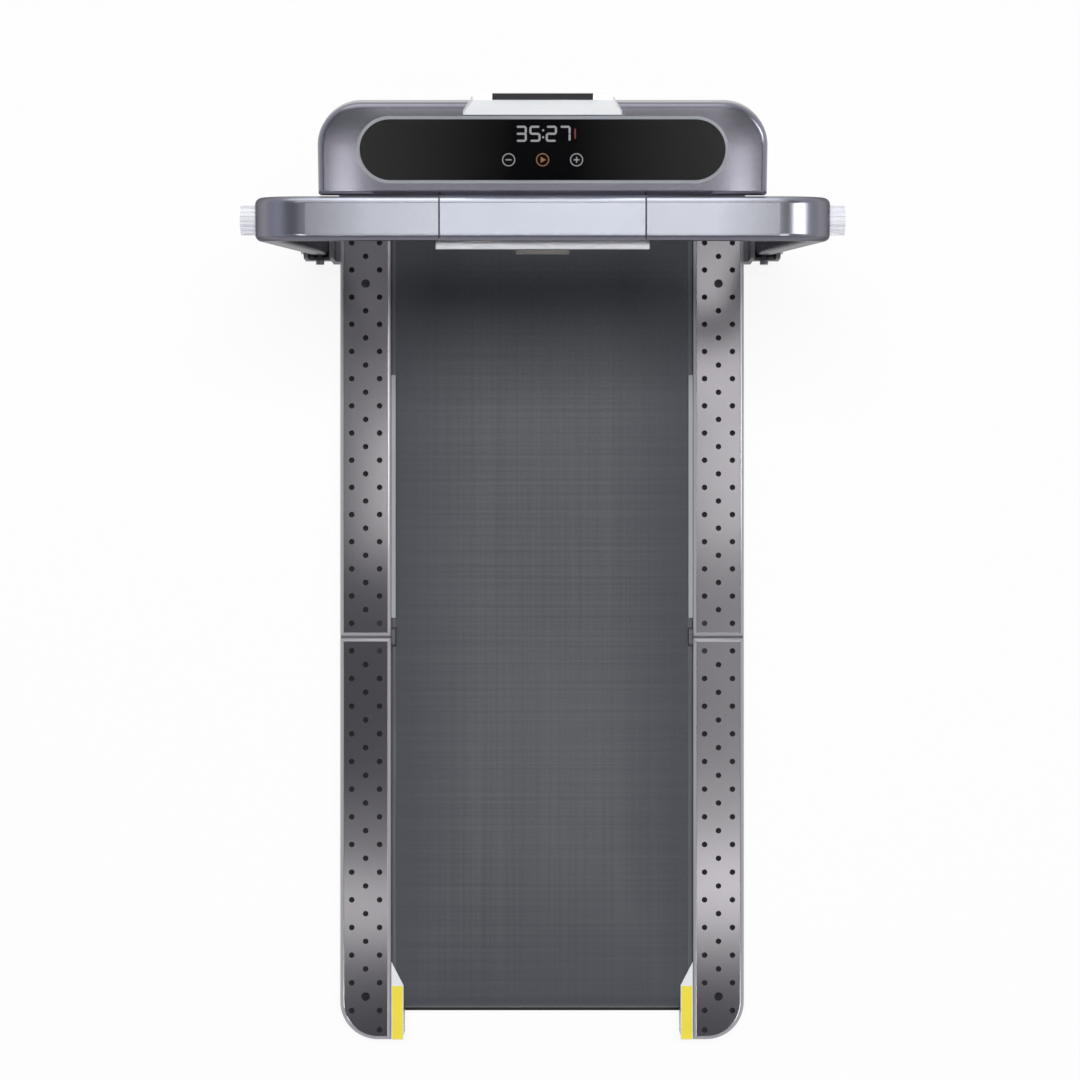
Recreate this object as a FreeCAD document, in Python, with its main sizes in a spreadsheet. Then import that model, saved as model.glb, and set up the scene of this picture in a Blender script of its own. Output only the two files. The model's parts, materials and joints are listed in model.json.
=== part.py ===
import FreeCAD, Part
import math
import os
import Sketcher
from types import SimpleNamespace

# Folding walking pad: two deck halves on link hinges, upright handrail with console.
# X is to the right of the walker, Y forward, Z up. Lengths in millimetres, angles in degrees.

SIZES = {
    # Deck
    "deck_length": "1348",
    "deck_width": "586",
    "deck_height": "88",
    "rear_half_length": "584",
    "seam_gap": "1.5",
    # Rails
    "rail_width": "74.5",
    "rail_skirt": "58",
    "rail_lip": "16",
    "rail_wall": "2.5",
    "rail_end_gap": "1",
    "edge_round": "6",
    "tail_round": "55",
    "dot_radius": "4",
    "dot_column_pitch": "20.2",
    "dot_start": "20",
    "tail_dot_inset": "14.5",
    "rail_screw_radius": "6",
    "screw_clearance": "0.2",
    # Beams, cross-members and boards
    "beam_offset": "7.5",
    "beam_width": "58",
    "beam_height": "44",
    "beam_wall": "2",
    "beam_plug": "25",
    "beam_front_inset": "68",
    "beam_tail_inset": "34",
    "boss_half": "10",
    "cross_depth": "30",
    "cross_height": "24",
    "cross_wall": "2",
    "board_width": "435",
    "board_thickness": "12",
    "board_gap": "0.3",
    "board_end_gap": "8",
    "pan_thickness": "2",
    "pan_lap": "8",
    "pan_inset": "6",
    # Belt and rollers
    "belt_width": "423",
    "belt_thickness": "2",
    "belt_drop": "4",
    "belt_gap": "0.3",
    "belt_seam_gap": "1.1",
    "roller_radius": "21.7",
    "roller_length": "416",
    "roller_wall": "3",
    "roller_cap": "12",
    "axle_radius": "8",
    "running_fit": "0.05",
    "front_roller_inset": "134",
    "rear_roller_inset": "67",
    "strip_clearance": "1",
    "strip_height": "3.5",
    "strip_start": "28",
    "strip_length": "352",
    # Fold hinge
    "pin_radius": "2.75",
    "link_thickness": "5",
    "link_gap": "0.8",
    "pin_grip": "24",
    # Tail guards
    "guard_width": "17.5",
    "guard_length": "113",
    "guard_slope": "34",
    "guard_gap": "1",
    "guard_thickness": "2",
    "guard_block_length": "32",
    "guard_block_drop": "45",
    "guard_block_inset": "6",
    "plate_thickness": "0.8",
    "plate_margin": "1",
    "plate_length": "77",
    "tension_radius": "3",
    "tension_head_radius": "4.5",
    "tension_head_length": "5",
    "tension_wall": "3.5",
    # Hood, motor and drive
    "hood_length": "174",
    "hood_rise": "30",
    "hood_floor": "26",
    "hood_wall": "4",
    "hood_corner": "50",
    "hood_round": "10",
    "hood_lip_gap": "2",
    "hood_rib_length": "15",
    "hood_rib_height": "20",
    "hood_rib_setback": "99",
    "motor_inset": "62",
    "motor_height": "74",
    "motor_radius": "36",
    "motor_length": "136",
    "motor_side": "40",
    "motor_foot_half": "22",
    "motor_foot_height": "30",
    "motor_foot_margin": "26",
    "shaft_radius": "6",
    "shaft_grip": "20",
    "flywheel_radius": "32",
    "flywheel_width": "22",
    "flywheel_gap": "8",
    "pulley_width": "12",
    "pulley_clearance": "1",
    "roller_pulley_radius": "26",
    "motor_pulley_radius": "13",
    "pulley_hub_radius": "14",
    "drive_belt_thickness": "2.5",
    "drive_belt_margin": "1",
    "circuit_side": "40",
    "circuit_length": "140",
    "circuit_depth": "60",
    "circuit_inset": "94",
    "circuit_thickness": "2",
    "circuit_standoff": "4",
    "standoff_half": "5",
    "heat_sink_height": "22",
    "heat_sink_depth": "26",
    # Power inlet and switch
    "inlet_side": "160",
    "inlet_height": "70",
    "inlet_width": "70",
    "inlet_tall": "30",
    "inlet_lip": "3",
    "inlet_depth": "27",
    "socket_offset": "15",
    "socket_width": "24",
    "socket_tall": "16",
    "socket_depth": "18",
    "prong_width": "2",
    "prong_tall": "4",
    "prong_length": "12",
    "prong_pitch": "7",
    "rocker_offset": "18",
    "rocker_length": "18",
    "rocker_radius": "8",
    "rocker_face": "6.5",
    "rocker_inset": "9.5",
    "rocker_gap": "0.3",
    # Feet and wheels
    "foot_height": "30",
    "foot_radius": "13",
    "foot_offset": "43.5",
    "front_foot_inset": "114",
    "rear_foot_inset": "54",
    "seam_foot_inset": "30",
    "wheel_radius": "24",
    "wheel_width": "20",
    "wheel_offset": "32.5",
    "wheel_inset": "34",
    "wheel_clearance": "2",
    "wheel_side_gap": "1.5",
    "fork_thickness": "3",
    "fork_back": "4",
    "fork_drop": "12",
    "fork_rise": "28",
    "fork_nose": "12",
    "wheel_axle_radius": "5",
    # Handrail brackets and pivots
    "pivot_inset": "201",
    "pivot_rise": "32",
    "pivot_radius": "6",
    "pivot_head_radius": "11",
    "pivot_head_length": "4",
    "bracket_gap": "6.5",
    "cheek_thickness": "6",
    "cheek_clearance": "0.5",
    "cheek_back": "18",
    "cheek_front": "38",
    "cheek_drop": "86",
    "bracket_floor_drop": "36",
    "bracket_floor_thickness": "6",
    "stop_wall_thickness": "4",
    "stop_wall_height": "22",
    "stop_drop": "21",
    "stop_radius": "4",
    "stop_head_radius": "6",
    "stop_head_length": "6",
    "stop_gap": "0.4",
    "bolt_radius": "4",
    "bolt_head_radius": "7",
    "bolt_head_length": "5",
    "bolt_drop": "65",
    "bolt_spread": "22",
    "bolt_back": "8",
    # Uprights and bar, in the handrail's own frame at the pivot
    "rake": "4.3",
    "tube_depth": "51",
    "tube_thickness": "30",
    "tube_wall": "2.5",
    "tube_corner": "8",
    "tube_behind": "12",
    "tube_foot": "26",
    "bar_height": "880",
    "bend_radius": "48",
    "sleeve_width": "236",
    "sleeve_line": "2",
    "spigot_length": "47",
    "spigot_clearance": "0.2",
    "tray_width": "248",
    "tray_height": "22",
    "tray_lip": "9",
    "tray_inset": "3",
    "key_width": "40",
    "key_tall": "10",
    "key_reach": "15",
    "key_gap": "0.3",
    "key_cap_width": "62",
    "key_cap_tall": "16",
    "key_cap_depth": "5.7",
    "knob_height": "795",
    "knob_radius": "17.5",
    "knob_length": "18.5",
    "knob_gap": "0.3",
    "knob_stem_radius": "5",
    "knob_stem_length": "6",
    "flute_radius": "1.6",
    # Console, in its own frame on the bar
    "tilt": "10",
    "neck_height": "13",
    "neck_overlap": "1",
    "console_width": "517",
    "console_depth": "107.5",
    "console_corner": "50",
    "console_heel": "4",
    "shell_height": "20",
    "base_height": "14",
    "console_wall": "3",
    "console_round": "7",
    "lens_width": "420",
    "lens_depth": "70",
    "lens_centre": "53.5",
    "lens_thickness": "1.8",
    "rim_width": "3.5",
    "rim_rise": "0.6",
    "cove_depth": "9",
    "cove_drop": "6",
    "cove_width": "400",
    "display_width": "200",
    "display_depth": "50",
    "display_thickness": "2",
    "rest_base_half": "91",
    "rest_top_half": "79",
    "rest_height": "34",
    "rest_thickness": "5",
    "rest_lean": "21",
    "rest_setback": "9",
    "rest_pad_half": "57",
    "rest_pad_height": "4",
    "rest_pad_depth": "7",
}
SCREW_ROWS = 12
FRONT_DOT_ROWS = 15
FRONT_CENTRE_ROWS = 14
REAR_DOT_ROWS = 14
REAR_CENTRE_ROWS = 13
FLUTES = 18
CROSS_SHARES = (0.12, 0.5, 0.88)
FRONT_PITCH_SHARE = 0.0669
REAR_PITCH_SHARE = 0.06866

doc = FreeCAD.newDocument("walking_pad")
sheet = doc.addObject("Spreadsheet::Sheet", "Sizes")
for row, (name, text) in enumerate(SIZES.items(), start=1):
    sheet.set("A%d" % row, name)
    sheet.set("B%d" % row, text)
    sheet.setAlias("B%d" % row, name)
doc.recompute()

V = FreeCAD.Vector
UP = V(0, 0, 1)


class Dim:
    """A length that carries its value and the sheet expression that drives it."""

    def __init__(self, text, value):
        self.text = text
        self.value = float(value)

    def join(self, sign, other, value):
        return Dim("(%s %s %s)" % (self.text, sign, other.text), value)

    def __add__(self, other):
        other = dim(other)
        return self.join("+", other, self.value + other.value)

    def __sub__(self, other):
        other = dim(other)
        return self.join("-", other, self.value - other.value)

    def __mul__(self, other):
        other = dim(other)
        return self.join("*", other, self.value * other.value)

    def __truediv__(self, other):
        other = dim(other)
        return self.join("/", other, self.value / other.value)

    def __neg__(self):
        return Dim("(0 - %s)" % self.text, -self.value)


def dim(x):
    return x if isinstance(x, Dim) else Dim(repr(x), x)


def cosine(a):
    return Dim("cos(%s * 1 deg)" % a.text, math.cos(math.radians(a.value)))


def sine(a):
    return Dim("sin(%s * 1 deg)" % a.text, math.sin(math.radians(a.value)))


d = SimpleNamespace(**{name: Dim("Sizes." + name, sheet.get(name)) for name in SIZES})
ZERO = dim(0)


# Helpers for primitives and booleans
def bind(obj, **sizes):
    for name, size in sizes.items():
        obj.setExpression(name, size.text)


def put(obj, x, y, z):
    for name, size in zip("xyz", (x, y, z)):
        obj.setExpression("Placement.Base." + name, size.text)


def box(x, y, z):
    made = doc.addObject("Part::Box", "Block")
    bind(made, Length=x[1] - x[0], Width=y[1] - y[0], Height=z[1] - z[0])
    put(made, x[0], y[0], z[0])
    return made


def rod(axis, along, a, b, radius):
    """A cylinder along an axis over the span along, at the other two coordinates in x, y, z order."""
    made = doc.addObject("Part::Cylinder", "Rod")
    turns = {"x": (V(0, 1, 0), 90), "y": (V(1, 0, 0), -90), "z": (UP, 0)}
    made.Placement = FreeCAD.Placement(V(0, 0, 0), FreeCAD.Rotation(*turns[axis]))
    bind(made, Radius=radius, Height=along[1] - along[0])
    base = {"x": (along[0], a, b), "y": (a, along[0], b), "z": (a, b, along[0])}[axis]
    put(made, *base)
    return made


def cut(base, *tools):
    for tool in tools:
        made = doc.addObject("Part::Cut", "Cut")
        made.Base = base
        made.Tool = tool
        base = made
    return base


def fuse(*pieces):
    made = doc.addObject("Part::MultiFuse", "Union")
    made.Shapes = list(pieces)
    made.Refine = True
    return made


def group(*pieces):
    made = doc.addObject("Part::Compound", "Set")
    made.Links = list(pieces)
    return made


NODES = []


def node(label, obj):
    obj.Label = label
    NODES.append(obj)
    return obj


def on_side(side, a, b):
    """The span from a to b on the right side, or its mirror on the left."""
    return (a, b) if side > 0 else (-b, -a)


def at_side(side, a):
    return a if side > 0 else -a


# Helpers for bodies and sketches
def new_body():
    return doc.addObject("PartDesign::Body", "Body")


def origin(body, role):
    return next(f for f in body.Origin.OriginFeatures if f.Role == role)


def sketch(body, role, offset=None):
    made = body.newObject("Sketcher::SketchObject", "Sketch")
    made.AttachmentSupport = [(origin(body, role), "")]
    made.MapMode = "FlatFace"
    if offset is not None:
        made.setExpression("AttachmentOffset.Base.z", offset.text)
    return made


def hold(sk, size, kind, *where):
    """A driving constraint bound to the sheet."""
    index = sk.addConstraint(Sketcher.Constraint(kind, *where, size.value))
    sk.setExpression("Constraints[%d]" % index, size.text)


def pin_point(sk, geo, pos, x, y):
    hold(sk, x, "DistanceX", -1, 1, geo, pos)
    hold(sk, y, "DistanceY", -1, 1, geo, pos)


def line(sk, a, b):
    return sk.addGeometry(Part.LineSegment(V(*a, 0), V(*b, 0)))


def arc(sk, centre, radius, start, end):
    circle = Part.Circle(V(*centre, 0), UP, radius)
    return sk.addGeometry(Part.ArcOfCircle(circle, start, end))


def tie(sk, *where):
    sk.addConstraint(Sketcher.Constraint("Tangent", *where))


def rounded(sk, x, y, radii=(None, None, None, None)):
    """A rectangle over the spans x and y, its corners rounded counter-clockwise from low x, low y."""
    lo, hi = (x[0].value, y[0].value), (x[1].value, y[1].value)
    r = [0 if k is None else k.value for k in radii]
    sides = [
        line(sk, (lo[0] + r[0], lo[1]), (hi[0] - r[1], lo[1])),
        line(sk, (hi[0], lo[1] + r[1]), (hi[0], hi[1] - r[2])),
        line(sk, (hi[0] - r[2], hi[1]), (lo[0] + r[3], hi[1])),
        line(sk, (lo[0], hi[1] - r[3]), (lo[0], lo[1] + r[0])),
    ]
    centres = [
        (lo[0] + r[0], lo[1] + r[0]),
        (hi[0] - r[1], lo[1] + r[1]),
        (hi[0] - r[2], hi[1] - r[2]),
        (lo[0] + r[3], hi[1] - r[3]),
    ]
    for k, side in enumerate(sides):
        sk.addConstraint(Sketcher.Constraint("Vertical" if k % 2 else "Horizontal", side))
    for k, radius in enumerate(radii):
        before, after = sides[k - 1], sides[k]
        if radius is None:
            sk.addConstraint(Sketcher.Constraint("Coincident", before, 2, after, 1))
            continue
        start = math.pi * (2 + k) / 2
        bend = arc(sk, centres[k], r[k], start, start + math.pi / 2)
        tie(sk, before, 2, bend, 1)
        tie(sk, bend, 2, after, 1)
        hold(sk, radius, "Radius", bend)
    hold(sk, y[0], "DistanceY", -1, 1, sides[0], 1)
    hold(sk, x[1], "DistanceX", -1, 1, sides[1], 1)
    hold(sk, y[1], "DistanceY", -1, 1, sides[2], 1)
    hold(sk, x[0], "DistanceX", -1, 1, sides[3], 1)


def stadium(sk, y, half, radius):
    """A slot outline across x = 0 at height y."""
    c, r, v = half.value - radius.value, radius.value, y.value
    low = line(sk, (-c, v - r), (c, v - r))
    right = arc(sk, (c, v), r, -math.pi / 2, math.pi / 2)
    high = line(sk, (c, v + r), (-c, v + r))
    left = arc(sk, (-c, v), r, math.pi / 2, 3 * math.pi / 2)
    ring = (low, right, high, left)
    for before, after in zip(ring, ring[1:] + ring[:1]):
        tie(sk, before, 2, after, 1)
    pin_point(sk, right, 3, half - radius, y)
    pin_point(sk, left, 3, radius - half, y)
    hold(sk, radius, "Radius", right)


def two_pulleys(sk, first, second):
    """The outline of a belt round two pulleys, each given as (x, y, radius)."""
    (ax, ay, ar), (bx, by, br) = [[k.value for k in p] for p in (first, second)]
    heading = math.atan2(by - ay, bx - ax)
    open_angle = math.acos((ar - br) / math.hypot(bx - ax, by - ay))
    low, high = heading - open_angle, heading + open_angle
    spot = lambda x, y, r, t: (x + r * math.cos(t), y + r * math.sin(t))
    out = line(sk, spot(ax, ay, ar, low), spot(bx, by, br, low))
    far = arc(sk, (bx, by), br, low, high)
    back = line(sk, spot(bx, by, br, high), spot(ax, ay, ar, high))
    near = arc(sk, (ax, ay), ar, high, low + 2 * math.pi)
    ring = (out, far, back, near)
    for before, after in zip(ring, ring[1:] + ring[:1]):
        tie(sk, before, 2, after, 1)
    for bend, (x, y, radius) in ((near, first), (far, second)):
        pin_point(sk, bend, 3, x, y)
        hold(sk, radius, "Radius", bend)


def circle(sk, x, y, radius):
    geo = sk.addGeometry(Part.Circle(V(x.value, y.value, 0), UP, radius.value))
    pin_point(sk, geo, 3, x, y)
    hold(sk, radius, "Radius", geo)


def polygon(sk, points):
    flat = [(x.value, y.value) for x, y in points]
    sides = [line(sk, a, b) for a, b in zip(flat, flat[1:] + flat[:1])]
    for k, side in enumerate(sides):
        sk.addConstraint(Sketcher.Constraint("Coincident", sides[k - 1], 2, side, 1))
        pin_point(sk, side, 1, *points[k])


def pad(body, profile, length):
    made = body.newObject("PartDesign::Pad", "Pad")
    made.Profile = profile
    bind(made, Length=length)
    profile.Visibility = False
    return made


def pocket(body, profile, length, upward=False):
    made = body.newObject("PartDesign::Pocket", "Pocket")
    made.Profile = profile
    made.Reversed = upward
    bind(made, Length=length)
    return made


def round_edges(body, feature, radius, wanted):
    """A fillet on each edge of the feature whose box the test accepts."""
    doc.recompute()
    names = [
        "Edge%d" % k for k, e in enumerate(feature.Shape.Edges, start=1) if wanted(e.BoundBox)
    ]
    made = body.newObject("PartDesign::Fillet", "Fillet")
    made.Base = (feature, names)
    bind(made, Radius=radius)
    return made


def level(height):
    near = 1e-6
    return lambda b: abs(b.ZMin - height.value) < near and abs(b.ZMax - height.value) < near


def row_of(body, feature, pitch, count, way):
    """Copies of a pocket along the deck, away from the seam."""
    made = body.newObject("PartDesign::LinearPattern", "Row")
    made.Originals = [feature]
    made.Direction = (origin(body, "Y_Axis"), [""])
    made.Reversed = way < 0
    bind(made, Length=pitch * (count - 1))
    made.Occurrences = count
    body.Tip = made
    return made


# Places that follow from the sizes
half_length = d.deck_length / 2
half_width = d.deck_width / 2
top = d.deck_height
rail_in = half_width - d.rail_width
rail_mid = rail_in + d.rail_width / 2
rail_under = top - d.rail_wall
seam = d.rear_half_length - half_length
hood_rear = half_length - d.hood_length
hinge_z = top - d.edge_round
hinge_step = d.seam_gap / 2 + d.edge_round
belt_top = top - d.belt_drop
wrap_in = d.roller_radius + d.belt_gap
wrap_out = wrap_in + d.belt_thickness
roller_z = belt_top - wrap_out
front_roller_y = half_length - d.front_roller_inset
rear_roller_y = d.rear_roller_inset - half_length
beam_in = rail_in + d.beam_offset
beam_out = beam_in + d.beam_width
beam_floor = d.foot_height
beam_top = beam_floor + d.beam_height
board_top = belt_top - d.belt_thickness - d.board_gap
board_floor = board_top - d.board_thickness
half_belt = d.belt_width / 2
half_board = d.board_width / 2
half_roller = d.roller_length / 2
link_out = rail_in - d.link_gap
link_in = link_out - d.link_thickness
pivot_y = half_length - d.pivot_inset
pivot_z = top + d.pivot_rise
cheek_in = half_width + d.bracket_gap
post_in = cheek_in + d.cheek_thickness + d.cheek_clearance
post_out = post_in + d.tube_thickness
cheek_out = post_out + d.cheek_clearance
bracket_out = cheek_out + d.cheek_thickness
bolt_y = pivot_y - d.bolt_back
bolt_z = pivot_z - d.bolt_drop
LEFT, RIGHT = -1, 1
FRONT, REAR = 1, -1
SIDES = (LEFT, RIGHT)


def from_seam(way, a, b):
    """The span from a to b along the deck, counted from the seam."""
    return (seam + a, seam + b) if way > 0 else (seam - b, seam - a)


def off_seam(way, a):
    return seam + a if way > 0 else seam - a


# Perforated rail covers
front_rail_end = hood_rear - seam - d.rail_end_gap
rail_end = {FRONT: front_rail_end, REAR: d.rear_half_length}
dot_rows = {FRONT: (FRONT_DOT_ROWS, FRONT_CENTRE_ROWS), REAR: (REAR_DOT_ROWS, REAR_CENTRE_ROWS)}
dot_pitch = {FRONT: front_rail_end * FRONT_PITCH_SHARE, REAR: d.rear_half_length * REAR_PITCH_SHARE}
screw_reach = {way: d.dot_start + pitch / 2 + pitch * SCREW_ROWS for way, pitch in dot_pitch.items()}


def rail(label, way, side):
    body = new_body()
    floor = top - d.rail_skirt
    x = on_side(side, rail_in, half_width)
    y = from_seam(way, d.seam_gap / 2, rail_end[way])
    corner = {LEFT: 0, RIGHT: 1}[side]
    outer = [None] * 4
    inner = [None] * 4
    if way == REAR:
        outer[corner] = d.tail_round
        inner[corner] = d.tail_round - d.rail_wall
    plan = sketch(body, "XY_Plane", floor)
    rounded(plan, x, y, outer)
    block = pad(body, plan, d.rail_skirt)
    round_edges(body, block, d.edge_round, level(top))
    hollow = sketch(body, "XY_Plane", floor)
    wall = d.rail_wall
    hollow_end = y[1] + wall if way == FRONT else y[1] - wall
    rounded(hollow, (x[0] + wall, x[1] - wall), (y[0] + wall, hollow_end), inner)
    pocket(body, hollow, d.rail_skirt - wall, upward=True)
    lip = sketch(body, "XY_Plane", floor)
    rounded(lip, on_side(side, rail_in - wall, rail_in + wall), (y[0] - wall, y[1] + wall))
    pocket(body, lip, d.rail_skirt - d.rail_lip, upward=True)
    mid = at_side(side, rail_mid)
    dots = sketch(body, "XY_Plane", top)
    for column in (mid - d.dot_column_pitch, mid + d.dot_column_pitch):
        circle(dots, column, off_seam(way, d.dot_start), d.dot_radius)
    first = pocket(body, dots, wall * 2)
    row_of(body, first, dot_pitch[way], dot_rows[way][0], way)
    centre = sketch(body, "XY_Plane", top)
    circle(centre, mid, off_seam(way, d.dot_start + dot_pitch[way] / 2), d.dot_radius)
    second = pocket(body, centre, wall * 2)
    row_of(body, second, dot_pitch[way], dot_rows[way][1], way)
    if way == REAR:
        last = sketch(body, "XY_Plane", top)
        circle(last, at_side(side, rail_mid - d.dot_column_pitch), d.tail_dot_inset - half_length,
               d.dot_radius)
        pocket(body, last, wall * 2)
    holes = [
        rod("z", (rail_under - wall, top + wall), mid, off_seam(way, screw_reach[way]),
            d.rail_screw_radius + d.screw_clearance),
        rod("x", on_side(side, rail_in - wall, rail_in + wall * 2), off_seam(way, hinge_step),
            hinge_z, d.pin_radius + d.screw_clearance),
    ]
    if way == FRONT:
        for step in (ZERO, d.bolt_spread):
            span = on_side(side, half_width - wall * 2, half_width + wall)
            holes.append(rod("x", span, bolt_y + step, bolt_z, d.bolt_radius + d.screw_clearance))
    node(label, cut(body, *holes))


rail("front_left_rail", FRONT, LEFT)
rail("front_right_rail", FRONT, RIGHT)
rail("rear_left_rail", REAR, LEFT)
rail("rear_right_rail", REAR, RIGHT)


def rail_screws(label, way):
    heads = [
        rod("z", (rail_under, top), at_side(s, rail_mid), off_seam(way, screw_reach[way]),
            d.rail_screw_radius)
        for s in SIDES
    ]
    node(label, group(*heads))


rail_screws("front_rail_screws", FRONT)
rail_screws("rear_rail_screws", REAR)

# Side beams with a solid hinge end and a boss under each rail screw
beam_end = {
    FRONT: half_length - d.beam_front_inset - seam,
    REAR: d.rear_half_length - d.beam_tail_inset,
}
beam_start = d.seam_gap / 2 + d.rail_wall


def beams(label, way):
    made = []
    for side in SIDES:
        x = on_side(side, beam_in, beam_out)
        tube = box(x, from_seam(way, beam_start, beam_end[way]), (beam_floor, beam_top))
        hollow = box(
            (x[0] + d.beam_wall, x[1] - d.beam_wall),
            from_seam(way, beam_start + d.beam_plug, beam_end[way] + d.beam_wall),
            (beam_floor + d.beam_wall, beam_top - d.beam_wall),
        )
        ear = box(
            on_side(side, beam_in, beam_in + d.pin_grip),
            from_seam(way, beam_start, beam_start + d.beam_plug),
            (beam_top, rail_under),
        )
        middle = at_side(side, rail_mid)
        boss = box(
            (middle - d.boss_half, middle + d.boss_half),
            from_seam(way, screw_reach[way] - d.boss_half, screw_reach[way] + d.boss_half),
            (beam_top, rail_under),
        )
        hole = rod("x", on_side(side, rail_in, beam_in + d.pin_grip * 2),
                   off_seam(way, hinge_step), hinge_z, d.pin_radius)
        made.append(cut(fuse(cut(tube, hollow), ear, boss), hole))
    node(label, group(*made))


beams("front_beams", FRONT)
beams("rear_beams", REAR)

# Cross-members, running boards and belly pans
roller_reach = {FRONT: front_roller_y - seam, REAR: seam - rear_roller_y}
board_reach = {way: reach - wrap_out - d.board_end_gap for way, reach in roller_reach.items()}
names = {FRONT: "front", REAR: "rear"}
pan_reach = {
    FRONT: half_length - seam - d.pan_inset,
    REAR: d.rear_half_length - d.beam_tail_inset,
}
for way in (FRONT, REAR):
    bars = []
    for share in CROSS_SHARES:
        middle = roller_reach[way] * share
        span = from_seam(way, middle - d.cross_depth / 2, middle + d.cross_depth / 2)
        z = (board_floor - d.cross_height, board_floor)
        tube = box((-beam_in, beam_in), span, z)
        hollow = box((-beam_in, beam_in), (span[0] + d.cross_wall, span[1] - d.cross_wall),
                     (z[0] + d.cross_wall, z[1] - d.cross_wall))
        bars.append(cut(tube, hollow))
    node(names[way] + "_crossmembers", group(*bars))
    length = from_seam(way, d.belt_seam_gap / 2, board_reach[way])
    board = box((-half_board, half_board), length, (board_floor, board_top))
    notches = [
        box(on_side(s, link_in - d.link_gap, rail_in),
            from_seam(way, ZERO, hinge_step + d.edge_round + d.link_gap), (board_floor, board_top))
        for s in SIDES
    ]
    node(names[way] + "_running_board", cut(board, *notches))
    pan_half = beam_in + d.pan_lap
    node(names[way] + "_belly_pan",
         box((-pan_half, pan_half), from_seam(way, d.pan_inset, pan_reach[way]),
             (beam_floor - d.pan_thickness, beam_floor)))


# Walking belt, cut at the seam, with a roller and axle in each half
def belt(label, way):
    x = (-half_belt, half_belt)
    reach = roller_reach[way]
    start = d.belt_seam_gap / 2
    y = off_seam(way, reach)
    outside = fuse(
        box(x, from_seam(way, start, reach), (roller_z - wrap_out, roller_z + wrap_out)),
        rod("x", x, y, roller_z, wrap_out),
    )
    inside = fuse(
        box(x, from_seam(way, start - d.belt_thickness, reach),
            (roller_z - wrap_in, roller_z + wrap_in)),
        rod("x", x, y, roller_z, wrap_in),
    )
    node(label, cut(outside, inside))


belt("belt_front", FRONT)
belt("belt_rear", REAR)

bore = d.axle_radius + d.running_fit
for way in (FRONT, REAR):
    y = off_seam(way, roller_reach[way])
    drum = rod("x", (-half_roller, half_roller), y, roller_z, d.roller_radius)
    cavity_half = half_roller - d.roller_cap
    cavity = rod("x", (-cavity_half, cavity_half), y, roller_z, d.roller_radius - d.roller_wall)
    hole = rod("x", (-half_belt, half_belt), y, roller_z, bore)
    node(names[way] + "_roller", cut(drum, cavity, hole))
    node(names[way] + "_axle", rod("x", (-beam_in, beam_in), y, roller_z, d.axle_radius))

# Light strips between the belt and the front rails
strips = [
    box(on_side(s, half_belt + d.strip_clearance, rail_in),
        from_seam(FRONT, d.strip_start, d.strip_start + d.strip_length),
        (rail_under - d.strip_height, rail_under))
    for s in SIDES
]
node("front_edge_strips", group(*strips))

# Fold hinge: a link each side between two parallel pins
links = []
for s in SIDES:
    x = on_side(s, link_in, link_out)
    pins_y = (seam - hinge_step, seam + hinge_step)
    plate = fuse(
        box(x, pins_y, (hinge_z - d.edge_round, hinge_z + d.edge_round)),
        *[rod("x", x, y, hinge_z, d.edge_round) for y in pins_y],
    )
    holes = [rod("x", x, y, hinge_z, d.pin_radius + d.running_fit) for y in pins_y]
    links.append(cut(plate, *holes))
node("hinge_links", group(*links))
for way in (FRONT, REAR):
    pins = [
        rod("x", on_side(s, link_in, beam_in + d.pin_grip), off_seam(way, hinge_step), hinge_z,
            d.pin_radius)
        for s in SIDES
    ]
    node(names[way] + "_hinge_pins", group(*pins))

# Roller guards at the tail, with plain plates and tension bolts
tail = -half_length
guard_floor = belt_top + d.guard_gap
guard_in = rail_in - d.guard_width
guards, plates, bolts = [], [], []
for s in SIDES:
    body = new_body()
    plan = sketch(body, "XY_Plane", guard_floor)
    a, b = at_side(s, guard_in), at_side(s, rail_in)
    slope = tail + d.guard_length - d.guard_slope
    corners = [(a, tail), (b, tail), (b, tail + d.guard_length), (a, slope)]
    polygon(plan, corners if s > 0 else corners[::-1])
    pad(body, plan, d.guard_thickness)
    block_tail = tail + d.guard_block_inset
    block = box(on_side(s, guard_in, rail_in), (block_tail, block_tail + d.guard_block_length),
                (guard_floor - d.guard_block_drop, guard_floor))
    bolt_x = at_side(s, rail_in - d.tension_wall)
    hole = rod("y", (tail, block_tail + d.guard_block_length * 2), bolt_x, roller_z,
               d.tension_radius)
    guards.append(cut(fuse(body, block), hole))
    plate_top = guard_floor + d.guard_thickness
    plates.append(box(on_side(s, guard_in + d.plate_margin, rail_in - d.plate_margin),
                      (tail + d.plate_margin, tail + d.plate_margin + d.plate_length),
                      (plate_top, plate_top + d.plate_thickness)))
    shank = rod("y", (block_tail, rear_roller_y - d.axle_radius), bolt_x, roller_z,
                d.tension_radius)
    head = rod("y", (block_tail - d.tension_head_length, block_tail), bolt_x, roller_z,
               d.tension_head_radius)
    bolts.append(fuse(shank, head))
node("roller_guards", group(*guards))
node("guard_plates", group(*plates))
node("tension_bolts", group(*bolts))

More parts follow.
